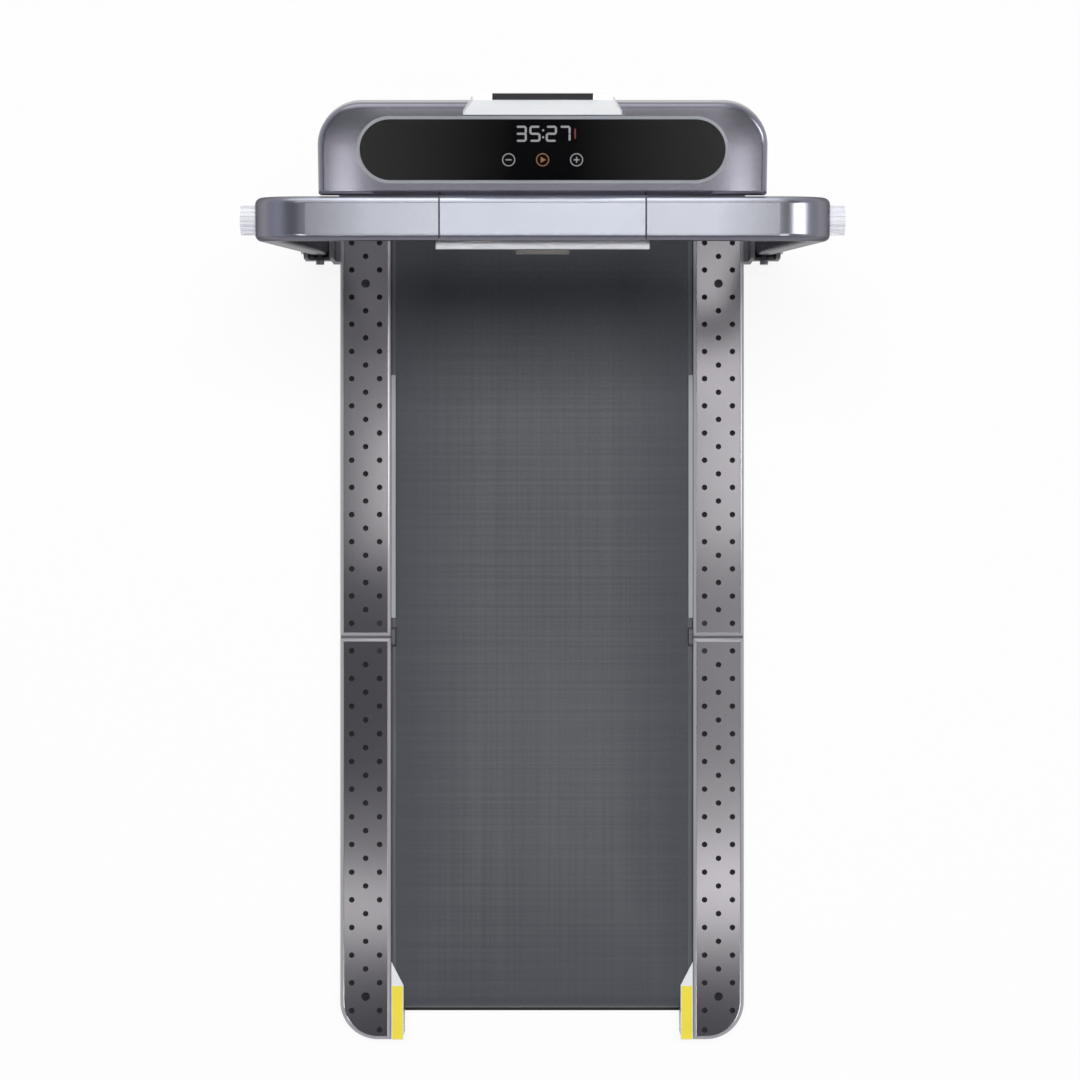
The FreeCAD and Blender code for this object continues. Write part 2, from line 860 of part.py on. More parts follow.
# Motor hood, with the window for the power inlet
hood_top = top + d.hood_rise
hood = new_body()
plan = sketch(hood, "XY_Plane", d.hood_floor)
rounded(plan, (-half_width, half_width), (hood_rear, half_length),
        (None, None, d.hood_corner, d.hood_corner))
block = pad(hood, plan, hood_top - d.hood_floor)
round_edges(hood, block, d.hood_round, level(hood_top))
hollow = sketch(hood, "XY_Plane", d.hood_floor)
wall = d.hood_wall
inner_corner = d.hood_corner - wall
rounded(hollow, (wall - half_width, half_width - wall), (hood_rear + wall, half_length - wall),
        (None, None, inner_corner, inner_corner))
pocket(hood, hollow, hood_top - d.hood_floor - wall, upward=True)
mouth = sketch(hood, "XY_Plane", d.hood_floor)
rounded(mouth, (wall - half_width, half_width - wall), (hood_rear - wall, hood_rear + wall))
pocket(hood, mouth, top + d.hood_lip_gap - d.hood_floor, upward=True)
rib_y = half_length - d.hood_rib_setback
ribs = [
    box(on_side(s, beam_out, half_width - wall / 2), (rib_y - d.hood_rib_length, rib_y),
        (beam_top - d.hood_rib_height, beam_top))
    for s in SIDES
]
inlet_x = (d.inlet_side - d.inlet_width / 2, d.inlet_side + d.inlet_width / 2)
inlet_z = (d.inlet_height - d.inlet_tall / 2, d.inlet_height + d.inlet_tall / 2)
window = box(inlet_x, (half_length - wall * 2, half_length + wall), inlet_z)
node("motor_hood", cut(fuse(hood, *ribs), window))

# Power inlet with socket, prongs and switch
face = half_length
flange = box(inlet_x, (face - wall, face), inlet_z)
case = box((inlet_x[0] + d.inlet_lip, inlet_x[1] - d.inlet_lip),
           (face - wall - d.inlet_depth, face - wall),
           (inlet_z[0] + d.inlet_lip, inlet_z[1] - d.inlet_lip))
socket_x = d.inlet_side - d.socket_offset
socket = box((socket_x - d.socket_width / 2, socket_x + d.socket_width / 2),
             (face - d.socket_depth, face + wall),
             (d.inlet_height - d.socket_tall / 2, d.inlet_height + d.socket_tall / 2))
rocker_x = d.inlet_side + d.rocker_offset
rocker_y = face - d.rocker_inset
rocker_room = d.rocker_radius + d.rocker_gap
room_x = (rocker_x - d.rocker_length / 2 - d.rocker_gap,
          rocker_x + d.rocker_length / 2 + d.rocker_gap)
room = rod("x", room_x, rocker_y, d.inlet_height, rocker_room)
opening = box(room_x, (rocker_y, face + wall),
              (d.inlet_height - rocker_room, d.inlet_height + rocker_room))
prongs = []
for step in (-1, 0, 1):
    x = socket_x + d.prong_pitch * step
    prongs.append(box((x - d.prong_width / 2, x + d.prong_width / 2),
                      (face - d.socket_depth, face - d.socket_depth + d.prong_length),
                      (d.inlet_height - d.prong_tall / 2, d.inlet_height + d.prong_tall / 2)))
node("power_inlet", fuse(cut(fuse(flange, case), socket, room, opening), *prongs))
rocker_span = (rocker_x - d.rocker_length / 2, rocker_x + d.rocker_length / 2)
drum = rod("x", rocker_span, rocker_y, d.inlet_height, d.rocker_radius)
front_slice = box(rocker_span, (rocker_y + d.rocker_face, face + wall),
                  (d.inlet_height - rocker_room, d.inlet_height + rocker_room))
node("switch_rocker", cut(drum, front_slice))

# Motor, flywheel, pulleys and drive belt
motor_y = half_length - d.motor_inset
motor_z = d.motor_height
motor_x = (-d.motor_side - d.motor_length, -d.motor_side)
pulley_in = -(half_belt + d.pulley_clearance)
pulley_x = (pulley_in - d.pulley_width, pulley_in)
can = rod("x", motor_x, motor_y, motor_z, d.motor_radius)
foot = box((motor_x[0] + d.motor_foot_margin, motor_x[1] - d.motor_foot_margin),
           (motor_y - d.motor_foot_half, motor_y + d.motor_foot_half),
           (beam_floor, beam_floor + d.motor_foot_height))
motor_bore = rod("x", (motor_x[0] - wall, motor_x[1] + wall), motor_y, motor_z,
                 d.shaft_radius + d.running_fit)
node("drive_motor", cut(fuse(can, foot), motor_bore))
shaft = rod("x", (pulley_x[0], motor_x[1] + d.shaft_grip), motor_y, motor_z, d.shaft_radius)
small = rod("x", pulley_x, motor_y, motor_z, d.motor_pulley_radius)
node("motor_shaft", fuse(shaft, small))
fly_x = (motor_x[0] - d.flywheel_gap - d.flywheel_width, motor_x[0] - d.flywheel_gap)
fly = rod("x", fly_x, motor_y, motor_z, d.flywheel_radius)
fly_hole = rod("x", fly_x, motor_y, motor_z, d.shaft_radius)
node("flywheel", cut(fly, fly_hole))
rim = rod("x", pulley_x, front_roller_y, roller_z, d.roller_pulley_radius)
hub = rod("x", (pulley_in, -half_roller), front_roller_y, roller_z, d.pulley_hub_radius)
hole = rod("x", (pulley_x[0], -half_roller), front_roller_y, roller_z, bore)
node("front_pulley", cut(fuse(rim, hub), hole))
loop = new_body()
loop_plan = sketch(loop, "YZ_Plane", pulley_x[0] + d.drive_belt_margin)
for extra in (d.belt_gap, d.belt_gap + d.drive_belt_thickness):
    two_pulleys(loop_plan,
                (front_roller_y, roller_z, d.roller_pulley_radius + extra),
                (motor_y, motor_z, d.motor_pulley_radius + extra))
pad(loop, loop_plan, d.pulley_width - d.drive_belt_margin * 2)
node("drive_belt", loop)

# Control board on stand-offs, with its heat sink
board_x = (d.circuit_side, d.circuit_side + d.circuit_length)
board_y = (half_length - d.circuit_inset, half_length - d.circuit_inset + d.circuit_depth)
board_z = beam_floor + d.circuit_standoff
card = box(board_x, board_y, (board_z, board_z + d.circuit_thickness))
legs = [
    box((x - d.standoff_half, x + d.standoff_half),
        (board_y[0], board_y[1]), (beam_floor, board_z))
    for x in (board_x[0] + d.standoff_half, board_x[1] - d.standoff_half)
]
sink = box(board_x, (board_y[0], board_y[0] + d.heat_sink_depth),
           (board_z + d.circuit_thickness, board_z + d.circuit_thickness + d.heat_sink_height))
node("control_board", fuse(card, sink, *legs))

# Feet
foot_x = rail_in + d.foot_offset
foot_places = {
    FRONT: (d.seam_foot_inset, half_length - d.front_foot_inset - seam),
    REAR: (d.seam_foot_inset, d.rear_half_length - d.rear_foot_inset),
}
for way in (FRONT, REAR):
    feet = [
        rod("z", (ZERO, d.foot_height), at_side(s, foot_x), off_seam(way, reach), d.foot_radius)
        for s in SIDES
        for reach in foot_places[way]
    ]
    node(names[way] + "_feet", group(*feet))

# Transport wheels in forks on the front ends of the beams
beam_front = half_length - d.beam_front_inset
wheel_y = half_length - d.wheel_inset
wheel_z = d.wheel_radius + d.wheel_clearance
wheel_x = rail_in + d.wheel_offset
wheel_half = d.wheel_width / 2
forks = []
for side, label in ((LEFT, "left_wheel"), (RIGHT, "right_wheel")):
    near = wheel_half + d.wheel_side_gap
    span = on_side(side, wheel_x - near - d.fork_thickness, wheel_x + near + d.fork_thickness)
    z = (beam_floor - d.fork_drop, beam_floor + d.fork_rise)
    back = box(span, (beam_front, beam_front + d.fork_back), (beam_floor, z[1]))
    plates = [
        box(edge, (beam_front, wheel_y + d.fork_nose), z)
        for edge in ((span[0], span[0] + d.fork_thickness), (span[1] - d.fork_thickness, span[1]))
    ]
    axle = rod("x", span, wheel_y, wheel_z, d.wheel_axle_radius)
    forks.append(fuse(back, axle, *plates))
    tyre_x = on_side(side, wheel_x - wheel_half, wheel_x + wheel_half)
    tyre = rod("x", tyre_x, wheel_y, wheel_z, d.wheel_radius)
    hole = rod("x", tyre_x, wheel_y, wheel_z, d.wheel_axle_radius + d.running_fit)
    node(label, cut(tyre, hole))
node("wheel_forks", group(*forks))

# Brackets for the uprights, with pivot pins, stop bolts and mounting bolts
brackets, pins, stops, fixings = [], [], [], []
cheek_y = (pivot_y - d.cheek_back, pivot_y + d.cheek_front)
floor_z = (pivot_z - d.bracket_floor_drop, pivot_z - d.bracket_floor_drop + d.bracket_floor_thickness)
stop_z = pivot_z - d.stop_drop
stop_reach = d.tube_behind * cosine(d.rake) - (d.stop_drop - d.stop_radius) * sine(d.rake)
for s in SIDES:
    inner = on_side(s, cheek_in, cheek_in + d.cheek_thickness)
    outer = on_side(s, cheek_out, bracket_out)
    across = on_side(s, cheek_in, bracket_out)
    low = pivot_z - d.cheek_drop
    pieces = [
        box(inner, cheek_y, (low, pivot_z)),
        box(outer, cheek_y, (floor_z[0], pivot_z)),
        box(across, cheek_y, floor_z),
        box(across, (cheek_y[0], cheek_y[0] + d.stop_wall_thickness),
            (floor_z[0], floor_z[0] + d.stop_wall_height)),
        box(on_side(s, half_width, cheek_in), cheek_y, (low, hinge_z)),
        rod("x", inner, pivot_y, pivot_z, d.cheek_back),
        rod("x", outer, pivot_y, pivot_z, d.cheek_back),
    ]
    centre_x = at_side(s, (post_in + post_out) / 2)
    holes = [
        rod("x", across, pivot_y, pivot_z, d.pivot_radius),
        rod("y", (cheek_y[0], pivot_y), centre_x, stop_z, d.stop_radius),
    ]
    bolt_span = on_side(s, beam_out, cheek_in + d.cheek_thickness)
    for step in (ZERO, d.bolt_spread):
        holes.append(rod("x", bolt_span, bolt_y + step, bolt_z, d.bolt_radius))
        head = on_side(s, cheek_in + d.cheek_thickness,
                       cheek_in + d.cheek_thickness + d.bolt_head_length)
        fixings.append(fuse(rod("x", bolt_span, bolt_y + step, bolt_z, d.bolt_radius),
                            rod("x", head, bolt_y + step, bolt_z, d.bolt_head_radius)))
    brackets.append(cut(fuse(*pieces), *holes))
    head = on_side(s, bracket_out, bracket_out + d.pivot_head_length)
    pins.append(fuse(rod("x", across, pivot_y, pivot_z, d.pivot_radius),
                     rod("x", head, pivot_y, pivot_z, d.pivot_head_radius)))
    tip = pivot_y - stop_reach - d.stop_gap
    stops.append(fuse(rod("y", (cheek_y[0], tip), centre_x, stop_z, d.stop_radius),
                      rod("y", (cheek_y[0] - d.stop_head_length, cheek_y[0]), centre_x, stop_z,
                          d.stop_head_radius)))
node("upright_brackets", group(*brackets))
node("pivot_pins", group(*pins))
node("stop_bolts", group(*stops))
node("bracket_bolts", group(*fixings))


# Handrail pieces are drawn upright with the pivot at the origin, then leaned back
def stand(obj, y=ZERO, z=ZERO, tilt=None):
    angle = d.rake if tilt is None else d.rake + tilt
    made = group(obj)
    turn = FreeCAD.Rotation(V(1, 0, 0), angle.value)
    made.Placement = FreeCAD.Placement(V(0, 0, 0), turn)
    made.setExpression("Placement.Rotation.Angle", angle.text)
    c, s = cosine(d.rake), sine(d.rake)
    put(made, ZERO, pivot_y + y * c - z * s, pivot_z + y * s + z * c)
    return made


tube_y = (-d.tube_behind, d.tube_depth - d.tube_behind)
tube_mid = d.tube_depth / 2 - d.tube_behind
bar_top = d.bar_height
bar_floor = bar_top - d.tube_thickness
bar_mid = bar_top - d.tube_thickness / 2
sleeve_half = d.sleeve_width / 2
knob_y = tube_mid
knob_face = post_out + d.knob_gap


def upright(label, side):
    body = new_body()
    x = on_side(side, post_in, post_out)
    path = sketch(body, "XZ_Plane", -tube_mid)
    px = at_side(side, (post_in + post_out) / 2)
    end = at_side(side, sleeve_half + d.sleeve_line)
    turn = at_side(side, (post_in + post_out) / 2 - d.bend_radius)
    knee = bar_mid - d.bend_radius
    rise = line(path, (px.value, -d.tube_foot.value), (px.value, knee.value))
    sweep = (0, math.pi / 2) if side > 0 else (math.pi / 2, math.pi)
    bend = arc(path, (turn.value, knee.value), d.bend_radius.value, *sweep)
    across = line(path, (turn.value, bar_mid.value), (end.value, bar_mid.value))
    first, last = (1, 2) if side > 0 else (2, 1)
    tie(path, rise, 2, bend, first)
    tie(path, bend, last, across, 1)
    path.addConstraint(Sketcher.Constraint("Vertical", rise))
    path.addConstraint(Sketcher.Constraint("Horizontal", across))
    pin_point(path, rise, 1, px, -d.tube_foot)
    pin_point(path, across, 2, end, bar_mid)
    hold(path, d.bend_radius, "Radius", bend)
    outer = sketch(body, "XY_Plane", -d.tube_foot)
    rounded(outer, x, tube_y, [d.tube_corner] * 4)
    pipe = body.newObject("PartDesign::AdditivePipe", "Tube")
    pipe.Profile = outer
    pipe.Spine = (path, ["Edge1", "Edge2", "Edge3"])
    wall = d.tube_wall
    inner = sketch(body, "XY_Plane", -d.tube_foot)
    rounded(inner, (x[0] + wall, x[1] - wall), (tube_y[0] + wall, tube_y[1] - wall),
            [d.tube_corner - wall] * 4)
    core = body.newObject("PartDesign::SubtractivePipe", "Core")
    core.Profile = inner
    core.Spine = (path, ["Edge1", "Edge2", "Edge3"])
    pivot = rod("x", x, ZERO, ZERO, d.pivot_radius + d.running_fit)
    stem = rod("x", on_side(side, post_out - wall * 2, post_out + wall), knob_y, d.knob_height,
               d.knob_stem_radius + d.running_fit)
    node(label, stand(cut(body, pivot, stem)))


upright("left_upright", LEFT)
upright("right_upright", RIGHT)

# Centre sleeve with a spigot into each upright
sleeve = new_body()
profile = sketch(sleeve, "YZ_Plane", -sleeve_half)
rounded(profile, tube_y, (bar_floor, bar_top), [d.tube_corner] * 4)
pad(sleeve, profile, d.sleeve_width)
spigot_half = sleeve_half + d.spigot_length
gap = d.tube_wall + d.spigot_clearance
profile = sketch(sleeve, "YZ_Plane", -spigot_half)
rounded(profile, (tube_y[0] + gap, tube_y[1] - gap), (bar_floor + gap, bar_top - gap),
        [d.tube_corner - gap] * 4)
pad(sleeve, profile, spigot_half * 2)
node("centre_sleeve", stand(sleeve))

# Tray under the sleeve with the safety key
tray_half = d.tray_width / 2
tray_y = (tube_y[0] - d.tray_lip, tube_y[1] - d.tray_inset)
key_z = bar_floor - d.tray_height / 2
tray = box((-tray_half, tray_half), tray_y, (bar_floor - d.tray_height, bar_floor))
slot_half = d.key_width / 2 + d.key_gap
slot = box((-slot_half, slot_half), (tray_y[0] - d.key_gap, tray_y[0] + d.key_reach + d.key_gap),
           (key_z - d.key_tall / 2 - d.key_gap, key_z + d.key_tall / 2 + d.key_gap))
node("centre_tray", stand(cut(tray, slot)))
cap_back = tray_y[0] - d.key_gap
plug = box((-d.key_width / 2, d.key_width / 2), (cap_back, tray_y[0] + d.key_reach),
           (key_z - d.key_tall / 2, key_z + d.key_tall / 2))
cap = box((-d.key_cap_width / 2, d.key_cap_width / 2), (cap_back - d.key_cap_depth, cap_back),
          (key_z - d.key_cap_tall / 2, key_z + d.key_cap_tall / 2))
node("safety_key", stand(fuse(plug, cap)))


# Fluted knobs on the outer faces of the uprights
def knob(label, side):
    body = new_body()
    near = knob_face if side > 0 else -(knob_face + d.knob_length)
    disc = sketch(body, "YZ_Plane", near)
    circle(disc, ZERO, ZERO, d.knob_radius)
    pad(body, disc, d.knob_length)
    groove = sketch(body, "YZ_Plane", near + d.knob_length)
    circle(groove, d.knob_radius, ZERO, d.flute_radius)
    flute = pocket(body, groove, d.knob_length)
    ring = body.newObject("PartDesign::PolarPattern", "Flutes")
    ring.Originals = [flute]
    ring.Axis = (origin(body, "X_Axis"), [""])
    ring.Angle = 360
    ring.Occurrences = FLUTES
    body.Tip = ring
    stem = rod("x", on_side(side, knob_face - d.knob_stem_length, knob_face), ZERO, ZERO,
               d.knob_stem_radius)
    node(label, stand(fuse(body, stem), knob_y, d.knob_height))


knob("left_knob", LEFT)
knob("right_knob", RIGHT)


# Console pieces are drawn with the top face at height 0 and the rear edge at depth 0
def perch(obj):
    return stand(obj, tube_y[1], bar_top - d.tube_corner, d.tilt)


console_half = d.console_width / 2
ends = [d.console_heel, d.console_heel, d.console_corner, d.console_corner]
wall = d.console_wall
across = (-console_half, console_half)
depth = (ZERO, d.console_depth)
inside = ((wall - console_half, console_half - wall), (wall, d.console_depth - wall))
inner_ends = [d.console_heel - wall] * 2 + [d.console_corner - wall] * 2

shell = new_body()
plan = sketch(shell, "XY_Plane", -d.shell_height)
rounded(plan, across, depth, ends)
block = pad(shell, plan, d.shell_height)
heel = d.console_heel.value / 4
round_edges(shell, block, d.console_round,
            lambda b: level(ZERO)(b) and b.YMax > heel * 5)
hollow = sketch(shell, "XY_Plane", -d.shell_height)
rounded(hollow, *inside, inner_ends)
pocket(shell, hollow, d.shell_height - wall - d.lens_thickness, upward=True)
recess = sketch(shell, "XY_Plane", ZERO)
stadium(recess, d.lens_centre, d.lens_width / 2 + d.rim_width, d.lens_depth / 2 + d.rim_width)
pocket(shell, recess, d.lens_thickness)
cove_half = d.cove_width / 2
cove = doc.addObject("Part::Wedge", "Cove")
cove.Placement = FreeCAD.Placement(V(0, 0, 0), FreeCAD.Rotation(V(1, 0, 0), 90))
bind(cove, Xmin=-cove_half + d.cove_depth, Xmax=cove_half - d.cove_depth, X2min=-cove_half,
     X2max=cove_half, Ymin=-d.cove_drop, Ymax=d.console_wall, Zmin=ZERO, Zmax=d.console_wall,
     Z2min=-d.cove_depth, Z2max=d.console_wall)
neck = doc.addObject("Part::Wedge", "Neck")
neck.Placement = FreeCAD.Placement(V(0, 0, 0), FreeCAD.Rotation(V(1, 0, 0), 90))
lean = sine(d.tilt) / cosine(d.tilt)
neck_half = sleeve_half + d.spigot_length
bind(neck, Xmin=-neck_half, Xmax=neck_half, X2min=-neck_half, X2max=neck_half,
     Ymin=-d.neck_height, Ymax=-d.cove_drop, Zmin=-d.neck_overlap, Zmax=d.neck_height * lean,
     Z2min=-d.neck_overlap, Z2max=d.cove_drop * lean)
node("console_shell", perch(fuse(cut(shell, cove), neck)))

base = new_body()
plan = sketch(base, "XY_Plane", -d.shell_height - d.base_height)
rounded(plan, across, depth, ends)
block = pad(base, plan, d.base_height)
under = -d.shell_height - d.base_height
round_edges(base, block, d.console_round,
            lambda b: level(under)(b) and b.YMax > heel * 5)
hollow = sketch(base, "XY_Plane", -d.shell_height)
rounded(hollow, *inside, inner_ends)
pocket(base, hollow, d.base_height - wall)
node("console_base", perch(base))

lens = new_body()
plan = sketch(lens, "XY_Plane", -d.lens_thickness)
stadium(plan, d.lens_centre, d.lens_width / 2, d.lens_depth / 2)
pad(lens, plan, d.lens_thickness)
node("display_lens", perch(lens))
rim = new_body()
plan = sketch(rim, "XY_Plane", -d.lens_thickness)
stadium(plan, d.lens_centre, d.lens_width / 2, d.lens_depth / 2)
stadium(plan, d.lens_centre, d.lens_width / 2 + d.rim_width, d.lens_depth / 2 + d.rim_width)
pad(rim, plan, d.lens_thickness + d.rim_rise)
node("display_rim", perch(rim))
display_half = d.display_width / 2
display_top = -(wall + d.lens_thickness)
display = box((-display_half, display_half),
              (d.lens_centre - d.display_depth / 2, d.lens_centre + d.display_depth / 2),
              (display_top - d.display_thickness, display_top))
node("display_board", perch(display))

# Tablet rest, a leaning plate that narrows upward, and the dark pad along its top
rest = doc.addObject("Part::Wedge", "Rest")
rest.Placement = FreeCAD.Placement(V(0, 0, 0), FreeCAD.Rotation(V(1, 0, 0), 90))
rest_y = d.console_depth - d.rest_setback
bind(rest, Xmin=-d.rest_base_half, Xmax=d.rest_base_half, X2min=-d.rest_top_half,
     X2max=d.rest_top_half, Ymin=ZERO, Ymax=d.rest_height, Zmin=-rest_y,
     Zmax=d.rest_thickness - rest_y, Z2min=-rest_y - d.rest_lean,
     Z2max=d.rest_thickness - rest_y - d.rest_lean)
node("tablet_rest", perch(rest))
pad_y = rest_y + d.rest_lean - d.rest_thickness
strip = box((-d.rest_pad_half, d.rest_pad_half), (pad_y, pad_y + d.rest_pad_depth),
            (d.rest_height, d.rest_height + d.rest_pad_height))
node("tablet_pad", perch(strip))

# Recompute, check and export
doc.recompute()
for obj in doc.Objects:
    if "Invalid" in obj.State or "Error" in obj.State:
        raise RuntimeError("feature failed: %s %s" % (obj.Name, obj.State))
os.makedirs("parts", exist_ok=True)
for obj in NODES:
    shape = obj.Shape
    if shape.isNull() or not shape.isValid() or not shape.Solids:
        raise RuntimeError("bad shape: " + obj.Label)
    print(obj.Label, len(shape.Solids), round(shape.Volume))
    shape.exportStep("parts/%s.step" % obj.Label)
print(len(NODES), "nodes")
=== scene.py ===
import itertools
import json
import math

import bmesh
import bpy
import numpy as np
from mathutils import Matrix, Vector


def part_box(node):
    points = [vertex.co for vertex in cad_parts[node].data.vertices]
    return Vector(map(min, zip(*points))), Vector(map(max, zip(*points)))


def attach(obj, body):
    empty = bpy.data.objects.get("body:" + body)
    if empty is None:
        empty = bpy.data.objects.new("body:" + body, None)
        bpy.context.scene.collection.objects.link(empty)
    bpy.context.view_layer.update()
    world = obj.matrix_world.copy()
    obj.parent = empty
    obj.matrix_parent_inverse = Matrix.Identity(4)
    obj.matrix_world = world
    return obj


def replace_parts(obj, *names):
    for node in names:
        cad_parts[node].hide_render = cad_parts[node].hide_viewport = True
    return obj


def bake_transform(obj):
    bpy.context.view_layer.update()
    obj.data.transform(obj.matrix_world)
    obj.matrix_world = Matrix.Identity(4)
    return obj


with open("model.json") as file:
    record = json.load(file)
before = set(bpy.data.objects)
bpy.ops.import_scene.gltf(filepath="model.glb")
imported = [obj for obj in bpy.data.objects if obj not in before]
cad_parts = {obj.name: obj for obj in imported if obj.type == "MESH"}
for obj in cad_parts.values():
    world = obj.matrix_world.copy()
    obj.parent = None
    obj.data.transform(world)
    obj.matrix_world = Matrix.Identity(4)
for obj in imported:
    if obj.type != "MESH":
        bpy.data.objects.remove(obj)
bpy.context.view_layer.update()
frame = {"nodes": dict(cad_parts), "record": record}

# Lengths in metres, angles in degrees, gloss and light as shares of one
SHARP_ANGLE = 35.0
SEAM_Y = -0.090
BELT_THICK = 0.002
BEND_REACH = 0.010
THREAD_PITCH = 0.0044
# Painted shade on the belt: towards the tail, and along the sides
TAIL_SHADE_ALONG = (-0.56, -0.30)
SIDE_SHADE_ACROSS = (0.09, 0.20)
PLY_PITCH = 0.0034
RAIL_MID = 0.25575
# Above this height the side walls of the rails' holes get painted shade
HOLE_FLOOR = 0.0845
# Height band of the rails' rounded edges that gets a painted highlight
EDGE_HIGHLIGHT_BAND = (0.0818, 0.08797)
DULL_FROM = (0.18, 0.33)
RAIL_GLOSS = (0.115, 0.17)
# Past this the sleeve's spigot, in the gap at the tubes, gets black painted shade
SLEEVE_END = 0.1182
# Painted shade on the tubes: from where the bends begin, and on faces turned back past this
BEND_SHADE_FROM = (0.200, 0.312)
BACK_SHADE_FROM = -0.35
PILLOW_FROM = (0.185, 0.490)
PILLOW_CURVE = (1.2, 14.3)
LENS_TINT_FROM = (0.035, 0.205)
SEAL_X = (0.2192, 0.2922)
SEAL_Y = (-0.08925, -0.09050)
SEAL_Z = (0.036, 0.0825)
SEAL_FOOT_X = (0.2122, 0.2250)
SEAL_FOOT_Z = (0.036, 0.074)
SEAL_PLUG_X = (0.2122, 0.2182)
SEAL_PLUG_Y = (-0.0820, -0.0955)
SEAL_PLUG_Z = (0.036, 0.066)
SEAL_CORNER = 0.0025
EDGE_SOFT = 0.0004
TAIL_HOLE = (0.23555, -0.6595)
TAIL_PAD_RADIUS = 0.0058
TAIL_PAD_Z = (0.0838, 0.0853)
SCREW_RADIUS = 0.006
SCREW_EDGE = 0.0005
SCREW_FACE_SHARE = 0.92
SCREW_SOCKET = 0.0027
SOCKET_RIM_SHARE = 1.35
SOCKET_RIM_DROP = 0.0001
SOCKET_MOUTH_SHARE = 1.08
SOCKET_MOUTH_DROP = 0.0004
SOCKET_DEPTH = 0.0020
CONSOLE_Y = 0.446508
CONSOLE_Z = 0.992469
CONSOLE_LEAN = 14.3
GLYPH_RISE = 0.0002
DIGIT_HALF_WIDTH = 0.0052
DIGIT_HALF_HEIGHT = 0.0080
STROKE_HALF = 0.0012
BAR_CUT_SHARE = 0.8
TIME_ALONG = 0.0718
TIME_FIGURES = (("3", -0.0245), ("5", -0.0088), ("2", 0.0100), ("7", 0.0257))
COLON_ACROSS = 0.0006
COLON_RISE = 0.004
COLON_HALF = 0.0013
RUNNING_ACROSS = 0.0372
RUNNING_HALF = (0.0009, 0.0060)
ICON_ALONG = 0.042
ICON_STEP = 0.039
ICON_RADIUS = 0.0075
ICON_RING = 0.0011
SIGN_HALF = (0.0035, 0.0007)
PLUS_ARM_RISE = 0.0021
PLUS_ARM_HALF = (0.0007, 0.0014)
START_ACROSS = (-0.0022, 0.0040)
START_HALF = 0.0034
FLOOR_HALF = 9.0
FLOOR_GLOW_SHARE = 0.9
AMBIENT = 0.13
WALL_LEVEL = 0.6
WALL_TOP = (0.45, 0.75)
CAMERA_PLACE = (-0.003, 0.05075, 4.481)
CAMERA_LENS = 101.0
CAMERA_SENSOR = 36.0


def shade(red, green, blue):
    """A colour written as screen values from 0 to 255, in linear light."""
    value = np.array([red, green, blue]) / 255
    linear = np.where(value > 0.04045, ((value + 0.055) / 1.055) ** 2.4, value / 12.92)
    return (*linear.tolist(), 1.0)


# Meshes

def grid_faces(rows, columns):
    """Quads between neighbours of a grid whose rows follow a path and whose columns go round a profile."""
    row = np.arange(rows - 1)[:, None]
    column = np.arange(columns)[None, :]
    ahead = (column + 1) % columns
    corners = [row * columns + column, row * columns + ahead,
               (row + 1) * columns + ahead, (row + 1) * columns + column]
    return np.stack(np.broadcast_arrays(*corners), -1).reshape(-1, 4)


def swept(points):
    """Corners and faces of a closed tube: points[row, column] with both ends capped."""
    rows, columns = points.shape[:2]
    first = np.arange(columns)
    faces = grid_faces(rows, columns).tolist() + [first.tolist(), (first + (rows - 1) * columns).tolist()]
    return points.reshape(-1, 3), faces


def ringed(points):
    """Corners and faces of a closed ring: points[row, column] whose last row joins the first."""
    rows, columns = points.shape[:2]
    faces = grid_faces(rows + 1, columns) % (rows * columns)
    return points.reshape(-1, 3), faces.tolist()


def joined(parts):
    """Several sets of corners and faces as one."""
    corners, faces, count = [], [], 0
    for part_corners, part_faces in parts:
        corners.append(part_corners)
        faces += [[index + count for index in face] for face in part_faces]
        count += len(part_corners)
    return np.concatenate(corners), faces


def piece(name, shape, finish, cloth=None):
    """A mesh object at the origin, faces outward, smooth apart from its sharp edges."""
    corners, faces = shape
    mesh = bpy.data.meshes.new(name)
    mesh.from_pydata(corners, [], faces)
    if cloth is not None:
        ends = np.zeros(len(mesh.loops), np.int32)
        mesh.loops.foreach_get("vertex_index", ends)
        mesh.uv_layers.new(name="Cloth").data.foreach_set("uv", cloth[ends].astype(np.float32).ravel())
    work = bmesh.new()
    work.from_mesh(mesh)
    bmesh.ops.recalc_face_normals(work, faces=work.faces)
    work.to_mesh(mesh)
    work.free()
    mesh.shade_smooth()
    mesh.set_sharp_from_angle(angle=math.radians(SHARP_ANGLE))
    mesh.materials.append(finish)
    made = bpy.data.objects.new(name, mesh)
    bpy.context.scene.collection.objects.link(made)
    return made


# Finishes

